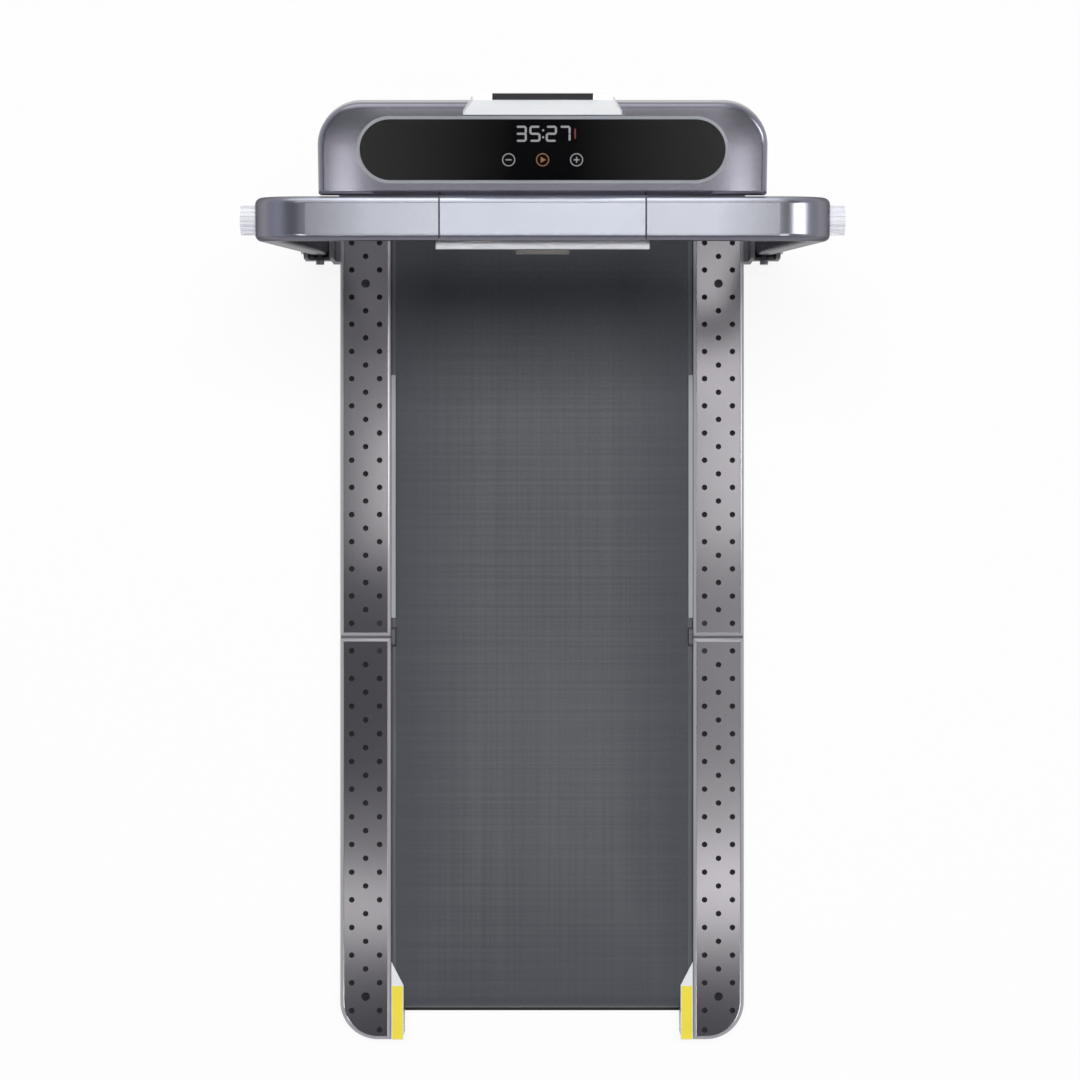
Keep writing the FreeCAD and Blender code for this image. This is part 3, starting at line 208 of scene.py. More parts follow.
class Finish:
    """A material, or the world, and short calls that add nodes and join them to its shader."""

    def __init__(self, made, shader="Principled BSDF", **sockets):
        self.made = bpy.data.materials.new(made) if isinstance(made, str) else made
        self.made.use_nodes = True
        self.tree = self.made.node_tree
        self.shader = self.tree.nodes[shader]
        self.wear(**sockets)

    def wear(self, **sockets):
        self.join(self.shader, {key.replace("_", " "): value for key, value in sockets.items()})

    def join(self, node, sockets):
        for key, value in sockets.items():
            if isinstance(value, bpy.types.NodeSocket):
                self.tree.links.new(value, node.inputs[key])
            else:
                node.inputs[key].default_value = value
        return node

    def add(self, kind, sockets, **settings):
        node = self.tree.nodes.new("ShaderNode" + kind)
        for key, value in settings.items():
            setattr(node, key, value)
        return self.join(node, sockets)

    def place(self, stretch=(1, 1, 1), source="Object"):
        start = self.add("TexCoord", {}).outputs[source]
        return self.add("Mapping", {"Vector": start, "Scale": stretch}).outputs["Vector"]

    def facing(self):
        """Which way the surface faces in the piece's own frame, so that it stays the same in every pose."""
        return self.axes(self.add("TexCoord", {}).outputs["Normal"])

    def axes(self, place):
        return self.add("SeparateXYZ", {"Vector": place}).outputs

    def noise(self, place, scale, detail=2.0):
        return self.add("TexNoise", {"Vector": place, "Scale": scale, "Detail": detail}).outputs["Fac"]

    def cells(self, place, scale):
        return self.add("TexVoronoi", {"Vector": place, "Scale": scale}).outputs["Distance"]

    def sum(self, operation, *values):
        return self.add("Math", dict(enumerate(values)), operation=operation).outputs[0]

    def spread(self, value, low, high, start=0.3, end=0.7):
        sockets = {"Value": value, "From Min": start, "From Max": end, "To Min": low, "To Max": high}
        return self.add("MapRange", sockets).outputs["Result"]

    def mix(self, share, first, second):
        return self.add("Mix", {0: share, 6: first, 7: second}, data_type="RGBA").outputs[2]

    def relief(self, height, strength, depth):
        sockets = {"Height": height, "Strength": strength, "Distance": depth}
        self.wear(Normal=self.add("Bump", sockets).outputs["Normal"])


def satin(name, pale, deep, rough, grain=1400.0, sparkle=0.03):
    """Anodised metal: slow clouds of two tones, and a fine grain in the gloss and the surface."""
    f = Finish(name, Metallic=0.92)
    place = f.place()
    fine = f.noise(place, grain, 3.0)
    tone = f.mix(f.spread(f.noise(place, 7.0), 0.0, 1.0), deep, pale)
    f.wear(Base_Color=tone, Roughness=f.spread(fine, rough - sparkle, rough + sparkle))
    f.relief(fine, sparkle / 2, 0.0002)
    return f, place, tone


def rail_metal():
    """Mauve-grey satin metal, duller towards the hood, with a painted highlight (paler, less metallic) along
    its rounded edges, and painted shade, nearly black, inside the punched holes."""
    pale, deep = shade(152, 149, 152), shade(145, 141, 145)
    f, place, tone = satin("rail_metal", pale, deep, RAIL_GLOSS[0], sparkle=0.012)
    _, along, height = f.axes(place)
    upward = f.facing()[2]
    # Painted shade: the walls of the punched holes are painted nearly black and not metallic
    hole_shade = f.sum("MULTIPLY", f.sum("GREATER_THAN", height, HOLE_FLOOR), f.sum("LESS_THAN", upward, 0.3))
    # Painted highlight: the top of the rounded edges gets a paler, less metallic colour
    rounding = f.sum("COMPARE", height, sum(EDGE_HIGHLIGHT_BAND) / 2, (EDGE_HIGHLIGHT_BAND[1] - EDGE_HIGHLIGHT_BAND[0]) / 2)
    cut = f.sum("MULTIPLY", rounding, f.sum("GREATER_THAN", upward, 0.05))
    edge_highlighted = f.mix(cut, tone, shade(172, 170, 174))
    solid = f.sum("SUBTRACT", 1.0, hole_shade)
    f.wear(Base_Color=f.mix(hole_shade, edge_highlighted, shade(26, 25, 28)),
           Roughness=f.spread(along, *RAIL_GLOSS, *DULL_FROM),
           Metallic=f.sum("MULTIPLY", f.spread(cut, 1.0, 0.25, 0.0, 1.0), solid))
    return f.made


def console_metal():
    """Graphite satin over a pillowed skin. Past its flat middle it sags with the square of the way to
    either side, and with the cube of the way to the back."""
    f, place, _ = satin("console_metal", shade(146, 144, 152), shade(138, 136, 145), 0.22, sparkle=0.012)
    x, y, _ = f.axes(place)
    past_x = f.sum("MAXIMUM", f.sum("SUBTRACT", f.sum("ABSOLUTE", x), PILLOW_FROM[0]), 0.0)
    past_y = f.sum("MAXIMUM", f.sum("SUBTRACT", y, PILLOW_FROM[1]), 0.0)
    sag = f.sum("ADD", f.sum("MULTIPLY", f.sum("POWER", past_x, 2.0), PILLOW_CURVE[0]),
                f.sum("MULTIPLY", f.sum("POWER", past_y, 3.0), PILLOW_CURVE[1]))
    f.relief(f.sum("SUBTRACT", 0.0, sag), 1.0, 1.0)
    return f.made


def tube_metal():
    """Silver along the bar, with painted shade in graphite on its back, round the bends and down the posts.
    """
    f, place, tone = satin("tube_metal", shade(218, 220, 228), shade(212, 214, 223), 0.25, sparkle=0.015)
    side = f.sum("ABSOLUTE", f.axes(place)[0])
    # Painted shade: darker graphite towards the bends and down the posts, and on the back faces
    bend_shaded = f.mix(f.spread(side, 0.0, 1.0, *BEND_SHADE_FROM), tone, shade(136, 134, 142))
    f.wear(Base_Color=f.mix(f.sum("LESS_THAN", f.facing()[1], BACK_SHADE_FROM), bend_shaded, shade(122, 120, 127)),
           Specular_Tint=shade(150, 150, 156))
    return f.made


def sleeve_metal():
    """The centre sleeve: a little cooler than the tubes, with painted shade on its back, and black painted
    shade on the spigot in the gap where it enters them.
    """
    f, place, tone = satin("sleeve_metal", shade(222, 225, 236), shade(217, 220, 232), 0.25, sparkle=0.015)
    # Painted shade: the spigot in the gap is black and not metallic, the back faces graphite
    spigot_shade = f.sum("GREATER_THAN", f.sum("ABSOLUTE", f.axes(place)[0]), SLEEVE_END)
    back_shaded = f.mix(f.sum("LESS_THAN", f.facing()[1], BACK_SHADE_FROM), tone, shade(122, 120, 127))
    f.wear(Base_Color=f.mix(spigot_shade, back_shaded, shade(34, 34, 38)),
           Metallic=f.spread(spigot_shade, 0.92, 0.0, 0.0, 1.0))
    return f.made


def knob_silver():
    """Plated plastic: paler and less mirror-like than the tubes."""
    f = satin("knob_silver", shade(232, 232, 236), shade(222, 222, 227), 0.3, 900.0)[0]
    f.wear(Metallic=0.45)
    return f.made


def rim_silver():
    """Brushed trim round the display."""
    return satin("rim_silver", shade(180, 181, 186), shade(170, 171, 177), 0.34)[0].made


def steel(name, tone, rough):
    """Plated steel with faint turning marks round the X axis and small stains."""
    f = Finish(name, Metallic=1.0)
    place = f.place((900, 60, 60))
    turned = f.noise(place, 1.0, 3.0)
    stain = f.spread(f.noise(f.place(), 45.0, 4.0), 0.0, 1.0)
    darker = tuple(0.72 * part for part in tone[:3]) + (1.0,)
    f.wear(Base_Color=f.mix(stain, darker, tone), Roughness=f.spread(turned, rough - 0.06, rough + 0.1))
    f.relief(turned, 0.08, 0.0003)
    return f.made


def painted_steel(name, tone, dusty):
    """Powder coat, with its fine orange peel and a dusty tone in places."""
    f = Finish(name)
    place = f.place()
    peel = f.noise(place, 650.0, 2.0)
    dust = f.spread(f.noise(place, 9.0, 4.0), 0.0, 1.0)
    f.wear(Base_Color=f.mix(dust, tone, dusty), Roughness=f.spread(peel, 0.42, 0.58))
    f.relief(peel, 0.18, 0.0004)
    return f.made


def grained_plastic(name, tone, rough, grain=850.0, depth=0.22):
    """Moulded plastic with a pebbled grain: cell distances raise the skin, and its gloss drifts slowly."""
    f = Finish(name)
    place = f.place()
    pebble = f.cells(place, grain)
    drift = f.spread(f.noise(place, 14.0, 3.0), 0.0, 1.0)
    worn = tuple(min(1.0, 1.1 * part + 0.001) for part in tone[:3]) + (1.0,)
    f.wear(Base_Color=f.mix(drift, tone, worn), Roughness=f.spread(drift, rough - 0.02, rough + 0.02))
    f.relief(pebble, depth, 0.0003)
    return f.made


def rubber(name, tone):
    """Dull rubber with a grey bloom and a coarse skin."""
    f = Finish(name)
    place = f.place()
    bloom = f.spread(f.noise(place, 60.0, 5.0), 0.0, 1.0)
    paler = tuple(1.5 * part + 0.006 for part in tone[:3]) + (1.0,)
    f.wear(Base_Color=f.mix(bloom, tone, paler), Roughness=f.spread(bloom, 0.72, 0.9))
    f.relief(f.noise(place, 1100.0, 3.0), 0.25, 0.0003)
    return f.made


def belt_weave():
    """Charcoal walking belt: threads both ways, each a little different in tone, over a fine plain weave,
    with painted shade along its sides and towards the tail.
    """
    f = Finish("walking_belt", Specular_IOR_Level=0.35, Sheen_Weight=0.12)
    cloth = f.place(source="UV")
    across, along, _ = f.axes(cloth)
    warp = f.sum("SINE", f.sum("MULTIPLY", across, 2 * math.pi / THREAD_PITCH))
    weft = f.sum("SINE", f.sum("MULTIPLY", along, 2 * math.pi / THREAD_PITCH))
    knots = f.sum("MULTIPLY", warp, weft)
    lengthwise = f.noise(f.place((190, 1.6, 1), "UV"), 1.0, 3.0)
    crosswise = f.noise(f.place((1.6, 190, 1), "UV"), 1.0, 3.0)
    threads = f.sum("ADD", f.sum("MULTIPLY", lengthwise, 0.8), f.sum("MULTIPLY", crosswise, 1.2))
    tone = f.mix(f.spread(threads, 0.0, 1.0, 0.8, 1.2), shade(77, 78, 82), shade(90, 91, 94))
    trodden = f.spread(f.noise(cloth, 3.0, 2.0), 0.0, 0.35)
    # Painted shade: the belt turns darker and bluer along its sides and towards the tail
    side_shade = f.spread(f.sum("ABSOLUTE", across), 0.0, 0.5, *SIDE_SHADE_ACROSS)
    belt_shade = f.sum("MAXIMUM", f.spread(along, 0.5, 0.0, *TAIL_SHADE_ALONG), side_shade)
    worn = f.mix(trodden, tone, shade(98, 100, 104))
    f.wear(Base_Color=f.mix(belt_shade, worn, shade(52, 56, 64)),
           Roughness=f.spread(threads, 0.62, 0.78, 0.8, 1.2))
    f.relief(f.sum("ADD", knots, f.sum("MULTIPLY", threads, 1.2)), 0.3, 0.0004)
    return f.made


def lens_black():
    """Smoked glass: nearly black over the lit window, greyer towards both ends, with faint smears."""
    f = Finish("lens_black", Specular_IOR_Level=0.02)
    side = f.sum("ABSOLUTE", f.axes(f.place())[0])
    smear = f.spread(f.noise(f.place((3, 20, 20)), 1.5, 4.0), 0.08, 0.16)
    tint = f.mix(f.spread(side, 0.0, 1.0, *LENS_TINT_FROM), shade(4, 4, 5), shade(38, 38, 38))
    f.wear(Base_Color=tint, Roughness=smear)
    return f.made


def running_board():
    """Plywood under a dark sliding face: bands of ply through the height, with grain drawn out along Y."""
    f = Finish("board_wood", Roughness=0.55)
    height = f.axes(f.place())[2]
    plies = f.sum("SINE", f.sum("MULTIPLY", height, 2 * math.pi / PLY_PITCH))
    grain = f.noise(f.place((300, 9, 900)), 1.0, 4.0)
    band = f.spread(f.sum("ADD", plies, grain), 0.0, 1.0, -0.6, 1.6)
    wood = f.mix(band, shade(128, 96, 62), shade(196, 160, 114))
    slick = f.mix(f.spread(grain, 0.0, 1.0), shade(76, 77, 81), shade(90, 91, 95))
    f.wear(Base_Color=f.mix(f.sum("GREATER_THAN", f.facing()[2], 0.5), wood, slick))
    f.relief(grain, 0.15, 0.0004)
    return f.made


def circuit_green():
    """Board lacquer over tracks: cells show as slightly paler squares."""
    f = Finish("circuit", Roughness=0.38)
    squares = f.add("TexVoronoi", {"Vector": f.place(), "Scale": 240.0}, distance="CHEBYCHEV")
    cells = squares.outputs["Distance"]
    f.wear(Base_Color=f.mix(f.spread(cells, 0.0, 1.0, 0.2, 0.5), shade(24, 92, 58), shade(14, 66, 42)))
    f.relief(cells, 0.2, 0.0004)
    return f.made


def glow(name, tone, strength):
    """A lit mark on the display, a little uneven like light through a diffuser."""
    f = Finish(name, Base_Color=shade(8, 8, 9), Roughness=0.4, Emission_Strength=strength)
    uneven = f.spread(f.noise(f.place(), 260.0, 2.0), 0.0, 0.3)
    dimmer = tuple(0.7 * part for part in tone[:3]) + (1.0,)
    f.wear(Emission_Color=f.mix(uneven, tone, dimmer))
    return f.made


FINISHES = {
    "rail_metal": rail_metal(),
    "frame_steel": painted_steel("frame_steel", shade(34, 34, 37), shade(44, 44, 47)),
    "plain_steel": steel("plain_steel", shade(188, 188, 190), 0.34),
    "dark_screw": steel("dark_screw", shade(66, 65, 70), 0.38),
    "walking_belt": belt_weave(),
    "board_wood": running_board(),
    "strip_grey": grained_plastic("strip_grey", shade(152, 153, 156), 0.4, 1200.0, 0.1),
    "hood_plastic": grained_plastic("hood_plastic", shade(52, 51, 56), 0.46),
    "black_plastic": grained_plastic("black_plastic", shade(30, 30, 32), 0.5),
    "guard_grey": grained_plastic("guard_grey", shade(222, 223, 226), 0.45, 1100.0, 0.15),
    "guard_yellow": grained_plastic("guard_yellow", shade(232, 214, 66), 0.42, 1300.0, 0.08),
    "tube_metal": tube_metal(),
    "console_metal": console_metal(),
    "lens_black": lens_black(),
    "rim_silver": rim_silver(),
    "circuit": circuit_green(),
    "rest_white": grained_plastic("rest_white", shade(248, 249, 253), 0.4, 1500.0, 0.06),
    "black_rubber": rubber("black_rubber", shade(26, 26, 28)),
    "motor_iron": steel("motor_iron", shade(96, 97, 100), 0.45),
    "roller_steel": steel("roller_steel", shade(200, 200, 202), 0.28),
    "drive_rubber": rubber("drive_rubber", shade(24, 24, 25)),
    "tray_grey": grained_plastic("tray_grey", shade(168, 169, 173), 0.4, 1200.0, 0.1),
    "key_grey": grained_plastic("key_grey", shade(76, 75, 73), 0.42, 1200.0, 0.12),
    "knob_silver": knob_silver(),
}

for part in frame["record"]["subparts"]:
    mesh = frame["nodes"][part["node"]].data
    mesh.materials.clear()
    mesh.materials.append(FINISHES[part["material_slot"]])

# Nodes whose finish differs from their slot's
OWN_FINISHES = {
    "centre_sleeve": sleeve_metal(),
    "upright_brackets": painted_steel("graphite_paint", shade(84, 83, 88), shade(94, 93, 97)),
}
for node in ("hinge_links", "front_hinge_pins", "rear_hinge_pins"):
    OWN_FINISHES[node] = OWN_FINISHES["upright_brackets"]
for node, finish in OWN_FINISHES.items():
    frame["nodes"][node].data.materials[0] = finish


# Walking belt

def belt_half(name, node, way):
    """Half of the belt. Its middle line leaves the fold along the top, takes half a turn round the roller and
    comes back underneath. A flat profile with round edges is carried along it. Rows crowd at the fold."""
    low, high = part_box(node)
    thick = BELT_THICK / 2
    radius = (high.z - low.z) / 2 - thick
    roller_y = high.y - radius - thick if way > 0 else low.y + radius + thick
    run = abs(roller_y - SEAM_Y)
    reach = np.concatenate([np.linspace(0, BEND_REACH, 41), np.linspace(BEND_REACH, run, 36)[1:]])
    turn = np.linspace(math.pi / 2, -math.pi / 2, 33)[1:-1]
    flat = np.full(reach.size, math.pi / 2)
    angle = np.concatenate([flat, turn, -flat])
    out = np.concatenate([reach, np.full(turn.size, run), reach[::-1]])
    half = high.x - thick
    side = np.linspace(-half, half, 25)
    bow = np.linspace(math.pi / 2, -math.pi / 2, 7)[1:-1]
    edge_x = np.concatenate([side, half + thick * np.cos(bow), side[::-1], -half - thick * np.cos(bow)])
    level = np.ones(side.size)
    edge_n = thick * np.concatenate([level, np.sin(bow), -level, -np.sin(bow)])
    ray = radius + edge_n[None, :]
    forward = out[:, None] + np.cos(angle)[:, None] * ray
    up = (high.z + low.z) / 2 + np.sin(angle)[:, None] * ray
    points = np.stack(np.broadcast_arrays(edge_x[None, :], SEAM_Y + way * forward, up), -1)
    steps = np.hypot(np.diff(out + radius * np.cos(angle)), np.diff(radius * np.sin(angle)))
    travel = way * np.concatenate([[0.0], np.cumsum(steps)])
    cloth = np.stack(np.broadcast_arrays(edge_x[None, :], travel[:, None]), -1).reshape(-1, 2)
    made = piece(name, swept(points), FINISHES["walking_belt"], cloth)
    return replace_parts(made, node)


front_belt = belt_half("walking_belt_front", "belt_front", 1)
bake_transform(front_belt)
rear_belt = belt_half("walking_belt_rear", "belt_rear", -1)
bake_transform(rear_belt)


# Rail screws

def socket_screws(name, node, body):
    """Countersunk heads with a six-sided socket, as rings round an axis. The radius is plain outside.
    Inside it is the socket's half width over the cosine of the angle within its sixth of a turn."""
    low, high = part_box(node)
    angle = np.linspace(0, 2 * math.pi, 36, endpoint=False)
    sixth = math.pi / 3
    six = 1 / np.cos((angle + sixth / 2) % sixth - sixth / 2)
    plain = np.ones(angle.size)
    soft = (six + plain) / 2
    rings = [
        (SCREW_RADIUS * plain, low.z),
        (SCREW_RADIUS * plain, high.z - SCREW_EDGE),
        (SCREW_RADIUS * SCREW_FACE_SHARE * plain, high.z),
        (SCREW_SOCKET * SOCKET_RIM_SHARE * soft, high.z - SOCKET_RIM_DROP),
        (SCREW_SOCKET * SOCKET_MOUTH_SHARE * six, high.z - SOCKET_MOUTH_DROP),
        (SCREW_SOCKET * six, high.z - SOCKET_DEPTH),
    ]
    radius = np.array([ring for ring, _ in rings])
    height = np.array([level for _, level in rings])[:, None] + 0 * radius
    middle_y = (low.y + high.y) / 2
    heads = []
    for x in (-RAIL_MID, RAIL_MID):
        points = np.stack([x + radius * np.cos(angle), middle_y + radius * np.sin(angle), height], -1)
        heads.append(swept(points))
    made = piece(name, joined(heads), FINISHES["dark_screw"])
    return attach(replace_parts(made, node), body)


socket_screws("front_socket_screws", "front_rail_screws", "front_base")
socket_screws("rear_socket_screws", "rear_rail_screws", "rear_deck")


# Seam seals

def seam_bumpers():
    """Thin rubber seals on the front rails' ends, each with a foot and a plug under the hinge link. They
    are rectangles with round corners carried along Y, drawn in at the face that meets the rear half."""
    turn = np.linspace(0, math.pi / 2, 7)
    quarter = np.concatenate([turn, turn + math.pi / 2, turn + math.pi, turn + 1.5 * math.pi])
    way_x = np.repeat([1, -1, -1, 1], turn.size)
    way_z = np.repeat([1, 1, -1, -1], turn.size)
    pads = []
    seal = (SEAL_X, SEAL_Y, SEAL_Z)
    foot = (SEAL_FOOT_X, SEAL_Y, SEAL_FOOT_Z)
    plug = (SEAL_PLUG_X, SEAL_PLUG_Y, SEAL_PLUG_Z)
    for side, (span_x, span_y, span_z) in itertools.product((-1, 1), (seal, foot, plug)):
        middle_x = side * sum(span_x) / 2
        middle_z = sum(span_z) / 2
        half_x = (span_x[1] - span_x[0]) / 2 - SEAL_CORNER
        half_z = (span_z[1] - span_z[0]) / 2 - SEAL_CORNER
        rows = []
        for y, corner in ((span_y[0], SEAL_CORNER), (span_y[1] + EDGE_SOFT, SEAL_CORNER),
                          (span_y[1], SEAL_CORNER - EDGE_SOFT)):
            x = middle_x + way_x * half_x + corner * np.cos(quarter)
            z = middle_z + way_z * half_z + corner * np.sin(quarter)
            rows.append(np.stack([x, np.full(x.size, y), z], -1))
        pads.append(swept(np.stack(rows)))
    return piece("seam_bumpers", joined(pads), rubber("seam_rubber", shade(92, 91, 94)))


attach(seam_bumpers(), "front_base")


# Tail hole shades: black discs that stand in for shade in the last holes

def tail_hole_shades():
    """Black discs just under the last hole of each rear rail, a dark stand-in for the shade inside it: rings
    round an upright axis, soft at the foot.
    """
    angle = np.linspace(0, 2 * math.pi, 32, endpoint=False)
    radius = np.array([TAIL_PAD_RADIUS - EDGE_SOFT, TAIL_PAD_RADIUS, TAIL_PAD_RADIUS])[:, None]
    height = np.array([TAIL_PAD_Z[0], TAIL_PAD_Z[0] + EDGE_SOFT, TAIL_PAD_Z[1]])[:, None]
    pads = []
    for side in (-1, 1):
        x = side * TAIL_HOLE[0] + radius * np.cos(angle)
        y = TAIL_HOLE[1] + radius * np.sin(angle)
        pads.append(swept(np.stack(np.broadcast_arrays(x, y, height), -1)))
    return piece("tail_hole_shades", joined(pads), FINISHES["black_rubber"])


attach(tail_hole_shades(), "rear_deck")


# Display marks

def on_lens(flat):
    """Points (across, along, above) of the console's face in the part's frame. Along climbs at its lean."""
    cosine, sine = math.cos(math.radians(CONSOLE_LEAN)), math.sin(math.radians(CONSOLE_LEAN))
    across, along, above = flat[..., 0], flat[..., 1], flat[..., 2]
    return np.stack([across, CONSOLE_Y + along * cosine - above * sine,
                     CONSOLE_Z + along * sine + above * cosine], -1)


def raised(outline):
    """A flat outline (across, along) as a thin raised mark on the lens."""
    outline = np.asarray(outline, float)
    floor = np.column_stack([outline, np.zeros(len(outline))])
    top = np.column_stack([outline, np.full(len(outline), GLYPH_RISE)])
    return swept(on_lens(np.stack([floor, top])))


def bar(across, along, half_width, half_height):
    """A small bar with cut corners about a middle point."""
    cut = min(half_width, half_height) * BAR_CUT_SHARE
    x = np.array([-1, 1, 1, 1, 1, -1, -1, -1]) * half_width + np.array([1, -1, 0, 0, -1, 1, 0, 0]) * cut
    y = np.array([-1, -1, -1, 1, 1, 1, 1, -1]) * half_height + np.array([0, 0, 1, -1, 0, 0, -1, 1]) * cut
    return raised(np.column_stack([across + x, along + y]))


def ring(across, along, radius, width):
    """A raised ring: a rectangle carried round a circle."""
    angle = np.linspace(0, 2 * math.pi, 40, endpoint=False)[:, None]
    reach = np.array([radius - width, radius, radius, radius - width])
    above = np.array([0, 0, GLYPH_RISE, GLYPH_RISE])
    x = across + reach * np.cos(angle)
    y = along + reach * np.sin(angle)
    return ringed(on_lens(np.stack(np.broadcast_arrays(x, y, above), -1)))


# Strokes of a figure: place sideways and upward in half widths and half heights, and 1 where it is upright
STROKES = {"top": (0, 1, 0), "middle": (0, 0, 0), "foot": (0, -1, 0), "upper_left": (-1, 0.5, 1),
           "upper_right": (1, 0.5, 1), "lower_left": (-1, -0.5, 1), "lower_right": (1, -0.5, 1)}
FIGURES = {
    "2": ("top", "upper_right", "middle", "lower_left", "foot"),
    "3": ("top", "upper_right", "middle", "lower_right", "foot"),
    "5": ("top", "upper_left", "middle", "lower_right", "foot"),
    "7": ("top", "upper_right", "lower_right"),
}


def figure(digit, across):
    """The strokes of one figure, upright ones half as tall as the figure."""
    made = []
    for stroke in FIGURES[digit]:
        side, rise, upright = STROKES[stroke]
        size = (STROKE_HALF, DIGIT_HALF_HEIGHT / 2) if upright else (DIGIT_HALF_WIDTH, STROKE_HALF)
        made.append(bar(across + side * DIGIT_HALF_WIDTH, TIME_ALONG + rise * DIGIT_HALF_HEIGHT, *size))
    return made


time_marks = []
for digit, across in TIME_FIGURES:
    time_marks += figure(digit, across)
for rise in (-COLON_RISE, COLON_RISE):
    time_marks.append(bar(COLON_ACROSS, TIME_ALONG + rise, COLON_HALF, COLON_HALF))
minus = [bar(-ICON_STEP, ICON_ALONG, *SIGN_HALF)]
plus = [bar(ICON_STEP, ICON_ALONG, *SIGN_HALF),
        bar(ICON_STEP, ICON_ALONG + PLUS_ARM_RISE, *PLUS_ARM_HALF),
        bar(ICON_STEP, ICON_ALONG - PLUS_ARM_RISE, *PLUS_ARM_HALF)]
start = [raised([(START_ACROSS[0], ICON_ALONG - START_HALF), (START_ACROSS[1], ICON_ALONG),
                 (START_ACROSS[0], ICON_ALONG + START_HALF)])]
white_glow = glow("display_white", shade(148, 149, 152), 1.0)
amber_glow = glow("display_amber", shade(142, 98, 64), 1.0)
red_glow = glow("display_red", shade(118, 40, 36), 1.0)
marks = {
    "display_time": (time_marks, white_glow),
    "slower_mark": (minus + [ring(-ICON_STEP, ICON_ALONG, ICON_RADIUS, ICON_RING)], white_glow),
    "start_mark": (start + [ring(0, ICON_ALONG, ICON_RADIUS, ICON_RING)], amber_glow),
    "faster_mark": (plus + [ring(ICON_STEP, ICON_ALONG, ICON_RADIUS, ICON_RING)], white_glow),
    "running_light": ([bar(RUNNING_ACROSS, TIME_ALONG, *RUNNING_HALF)], red_glow),
}
for name, (shapes, finish) in marks.items():
    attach(piece(name, joined(shapes), finish), "handrail")


# Floor, light and camera

def pale_floor():
    """White floor: mostly its own white to the eye and to mirrors, and it still takes a shadow."""
    f = Finish("pale_floor", Roughness=0.8)
    mottle = f.spread(f.noise(f.place(), 1.5, 2.0), 0.0, 1.0)
    f.wear(Base_Color=f.mix(mottle, (0.86, 0.86, 0.86, 1.0), (0.88, 0.88, 0.88, 1.0)))
    white = f.add("Emission", {"Color": (1.0, 1.0, 1.0, 1.0), "Strength": 1.0})
    path = f.add("LightPath", {}).outputs
    mirrored = f.sum("MAXIMUM", path["Is Glossy Ray"], path["Is Transmission Ray"])
    seen = f.sum("MAXIMUM", path["Is Camera Ray"], mirrored)
    share = f.sum("MULTIPLY", seen, FLOOR_GLOW_SHARE)
    both = f.add("MixShader", {0: share, 1: f.shader.outputs[0], 2: white.outputs[0]})
    f.tree.links.new(both.outputs[0], f.tree.nodes["Material Output"].inputs["Surface"])
    return f.made


floor_mesh = bpy.data.meshes.new("floor")
floor_corners = [(-FLOOR_HALF, -FLOOR_HALF, 0), (FLOOR_HALF, -FLOOR_HALF, 0),
                 (FLOOR_HALF, FLOOR_HALF, 0), (-FLOOR_HALF, FLOOR_HALF, 0)]
floor_mesh.from_pydata(floor_corners, [], [(0, 1, 2, 3)])
floor_mesh.materials.append(pale_floor())
floor = bpy.data.objects.new("floor", floor_mesh)
bpy.context.scene.collection.objects.link(floor)


def soft_light(name, place, target, size, power, spread=180.0):
    """A flat lamp of the given width and depth that faces its target and lights without showing in metal."""
    lamp = bpy.data.lights.new(name, "AREA")
    lamp.shape = "RECTANGLE"
    lamp.size, lamp.size_y = size
    lamp.energy = power
    lamp.spread = math.radians(spread)
    made = bpy.data.objects.new(name, lamp)
    made.location = place
    made.rotation_euler = (made.location - Vector(target)).to_track_quat("Z", "Y").to_euler()
    made.visible_camera = False
    made.visible_glossy = False
    bpy.context.scene.collection.objects.link(made)
    return made


def panel(name, place, target, size, level):
    """A panel that only shows in metal and gloss, as bright as the level, where 1 is white."""
    made = soft_light(name, place, target, size, level * math.pi * size[0] * size[1])
    made.visible_glossy = True
    made.visible_diffuse = False


def ceiling_panel(name, place, size, level):
    """A panel overhead that faces straight down. Panels at different heights add up in the metal."""
    panel(name, place, (place[0], place[1], 0), size, level)


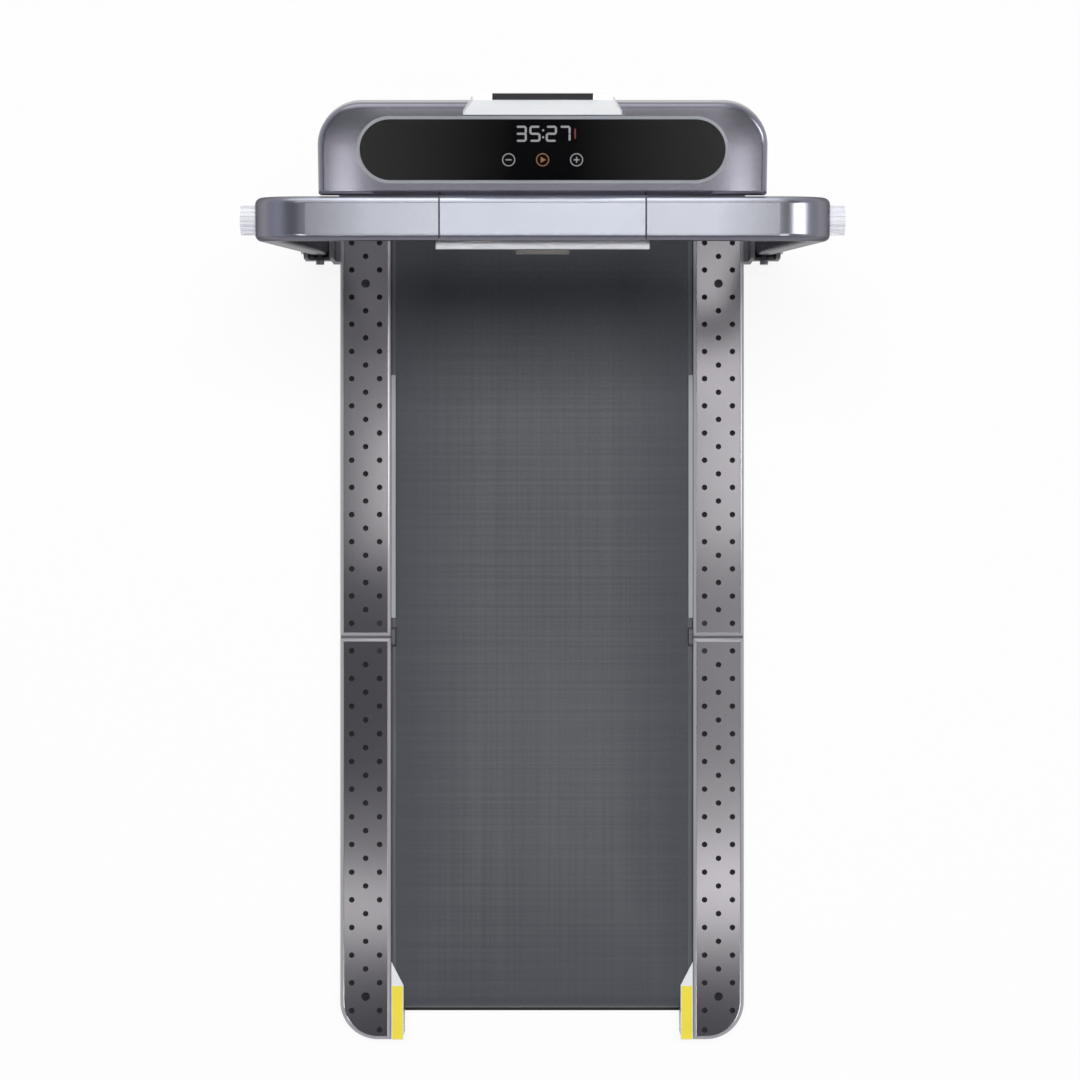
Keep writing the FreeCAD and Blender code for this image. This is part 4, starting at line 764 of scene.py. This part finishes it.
soft_light("deck_light", (0.1, 1.0, 9.0), (0, 0.2, 0), (2.6, 1.5), 740)
soft_light("rest_light", (0, -2.5, 3.2), (0, 0.55, 1.02), (0.5, 0.3), 0.62, 15.0)
ceiling_panel("bar_panel", (-0.17, 0.26, 5.2), (0.78, 0.5), 1.55)
ceiling_panel("bar_left_panel", (-1.25, 0.26, 5.2), (0.9, 0.5), 0.3)
ceiling_panel("tail_left_panel", (-0.43, -1.11, 5.2), (0.86, 0.22), 1.35)
ceiling_panel("tail_left_skirt", (-0.43, -1.0, 5.25), (0.86, 0.44), 0.27)
ceiling_panel("left_panel", (-0.50, -0.30, 5.3), (0.8, 1.96), 0.07)
ceiling_panel("tail_right_panel", (0.43, -1.04, 5.2), (0.86, 0.26), 1.3)
ceiling_panel("tail_right_skirt", (0.43, -0.95, 5.25), (0.86, 0.52), 0.35)
ceiling_panel("right_panel", (0.70, -0.2, 5.3), (0.6, 2.2), 0.62)
ceiling_panel("right_front_panel", (0.70, 0.62, 5.4), (0.5, 1.14), 1.05)
ceiling_panel("cross_panel", (0, 0.90, 5.5), (1.3, 0.36), 0.6)
ceiling_panel("corner_panel", (0.45, 0.76, 5.6), (0.3, 0.28), 2.0)
ceiling_panel("console_left_panel", (-1.5, -1.7, 5.2), (0.7, 0.7), 9.0)
ceiling_panel("console_right_panel", (1.5, -1.7, 5.2), (0.7, 0.7), 9.0)
panel("front_roof", (-0.3, 2.7, 4.4), (0, 0.42, 1.0), (3.6, 2.2), 0.9)
panel("front_panel", (-0.8, 4.0, 2.6), (0, 0.4, 0.9), (3.6, 2.0), 1.1)
panel("side_strip", (3.0, 0.4, 3.45), (0.3, 0.4, 0.9), (0.7, 2.0), 6.5)


def surround():
    """Dim all round, white to the eye, paler to mirrors towards the horizon, like a bright room's walls."""
    f = Finish(bpy.data.worlds.new("surround"), "Background")
    path = f.add("LightPath", {}).outputs
    height = f.axes(f.place(source="Generated"))[2]
    walls = f.spread(height, WALL_LEVEL, 0.0, *WALL_TOP)
    shown = f.sum("ADD", f.sum("MULTIPLY", path["Is Glossy Ray"], walls), AMBIENT)
    f.wear(Color=f.mix(path["Is Camera Ray"], (0.88, 0.94, 1.06, 1.0), (1.0, 1.0, 1.0, 1.0)),
           Strength=f.sum("MAXIMUM", shown, path["Is Camera Ray"]))
    return f.made


bpy.context.scene.world = surround()

camera = bpy.data.objects.new("camera", bpy.data.cameras.new("camera"))
camera.data.lens = CAMERA_LENS
camera.data.sensor_width = CAMERA_SENSOR
camera.location = CAMERA_PLACE
bpy.context.scene.collection.objects.link(camera)
bpy.context.scene.camera = camera
bpy.context.scene.view_settings.view_transform = "Standard"
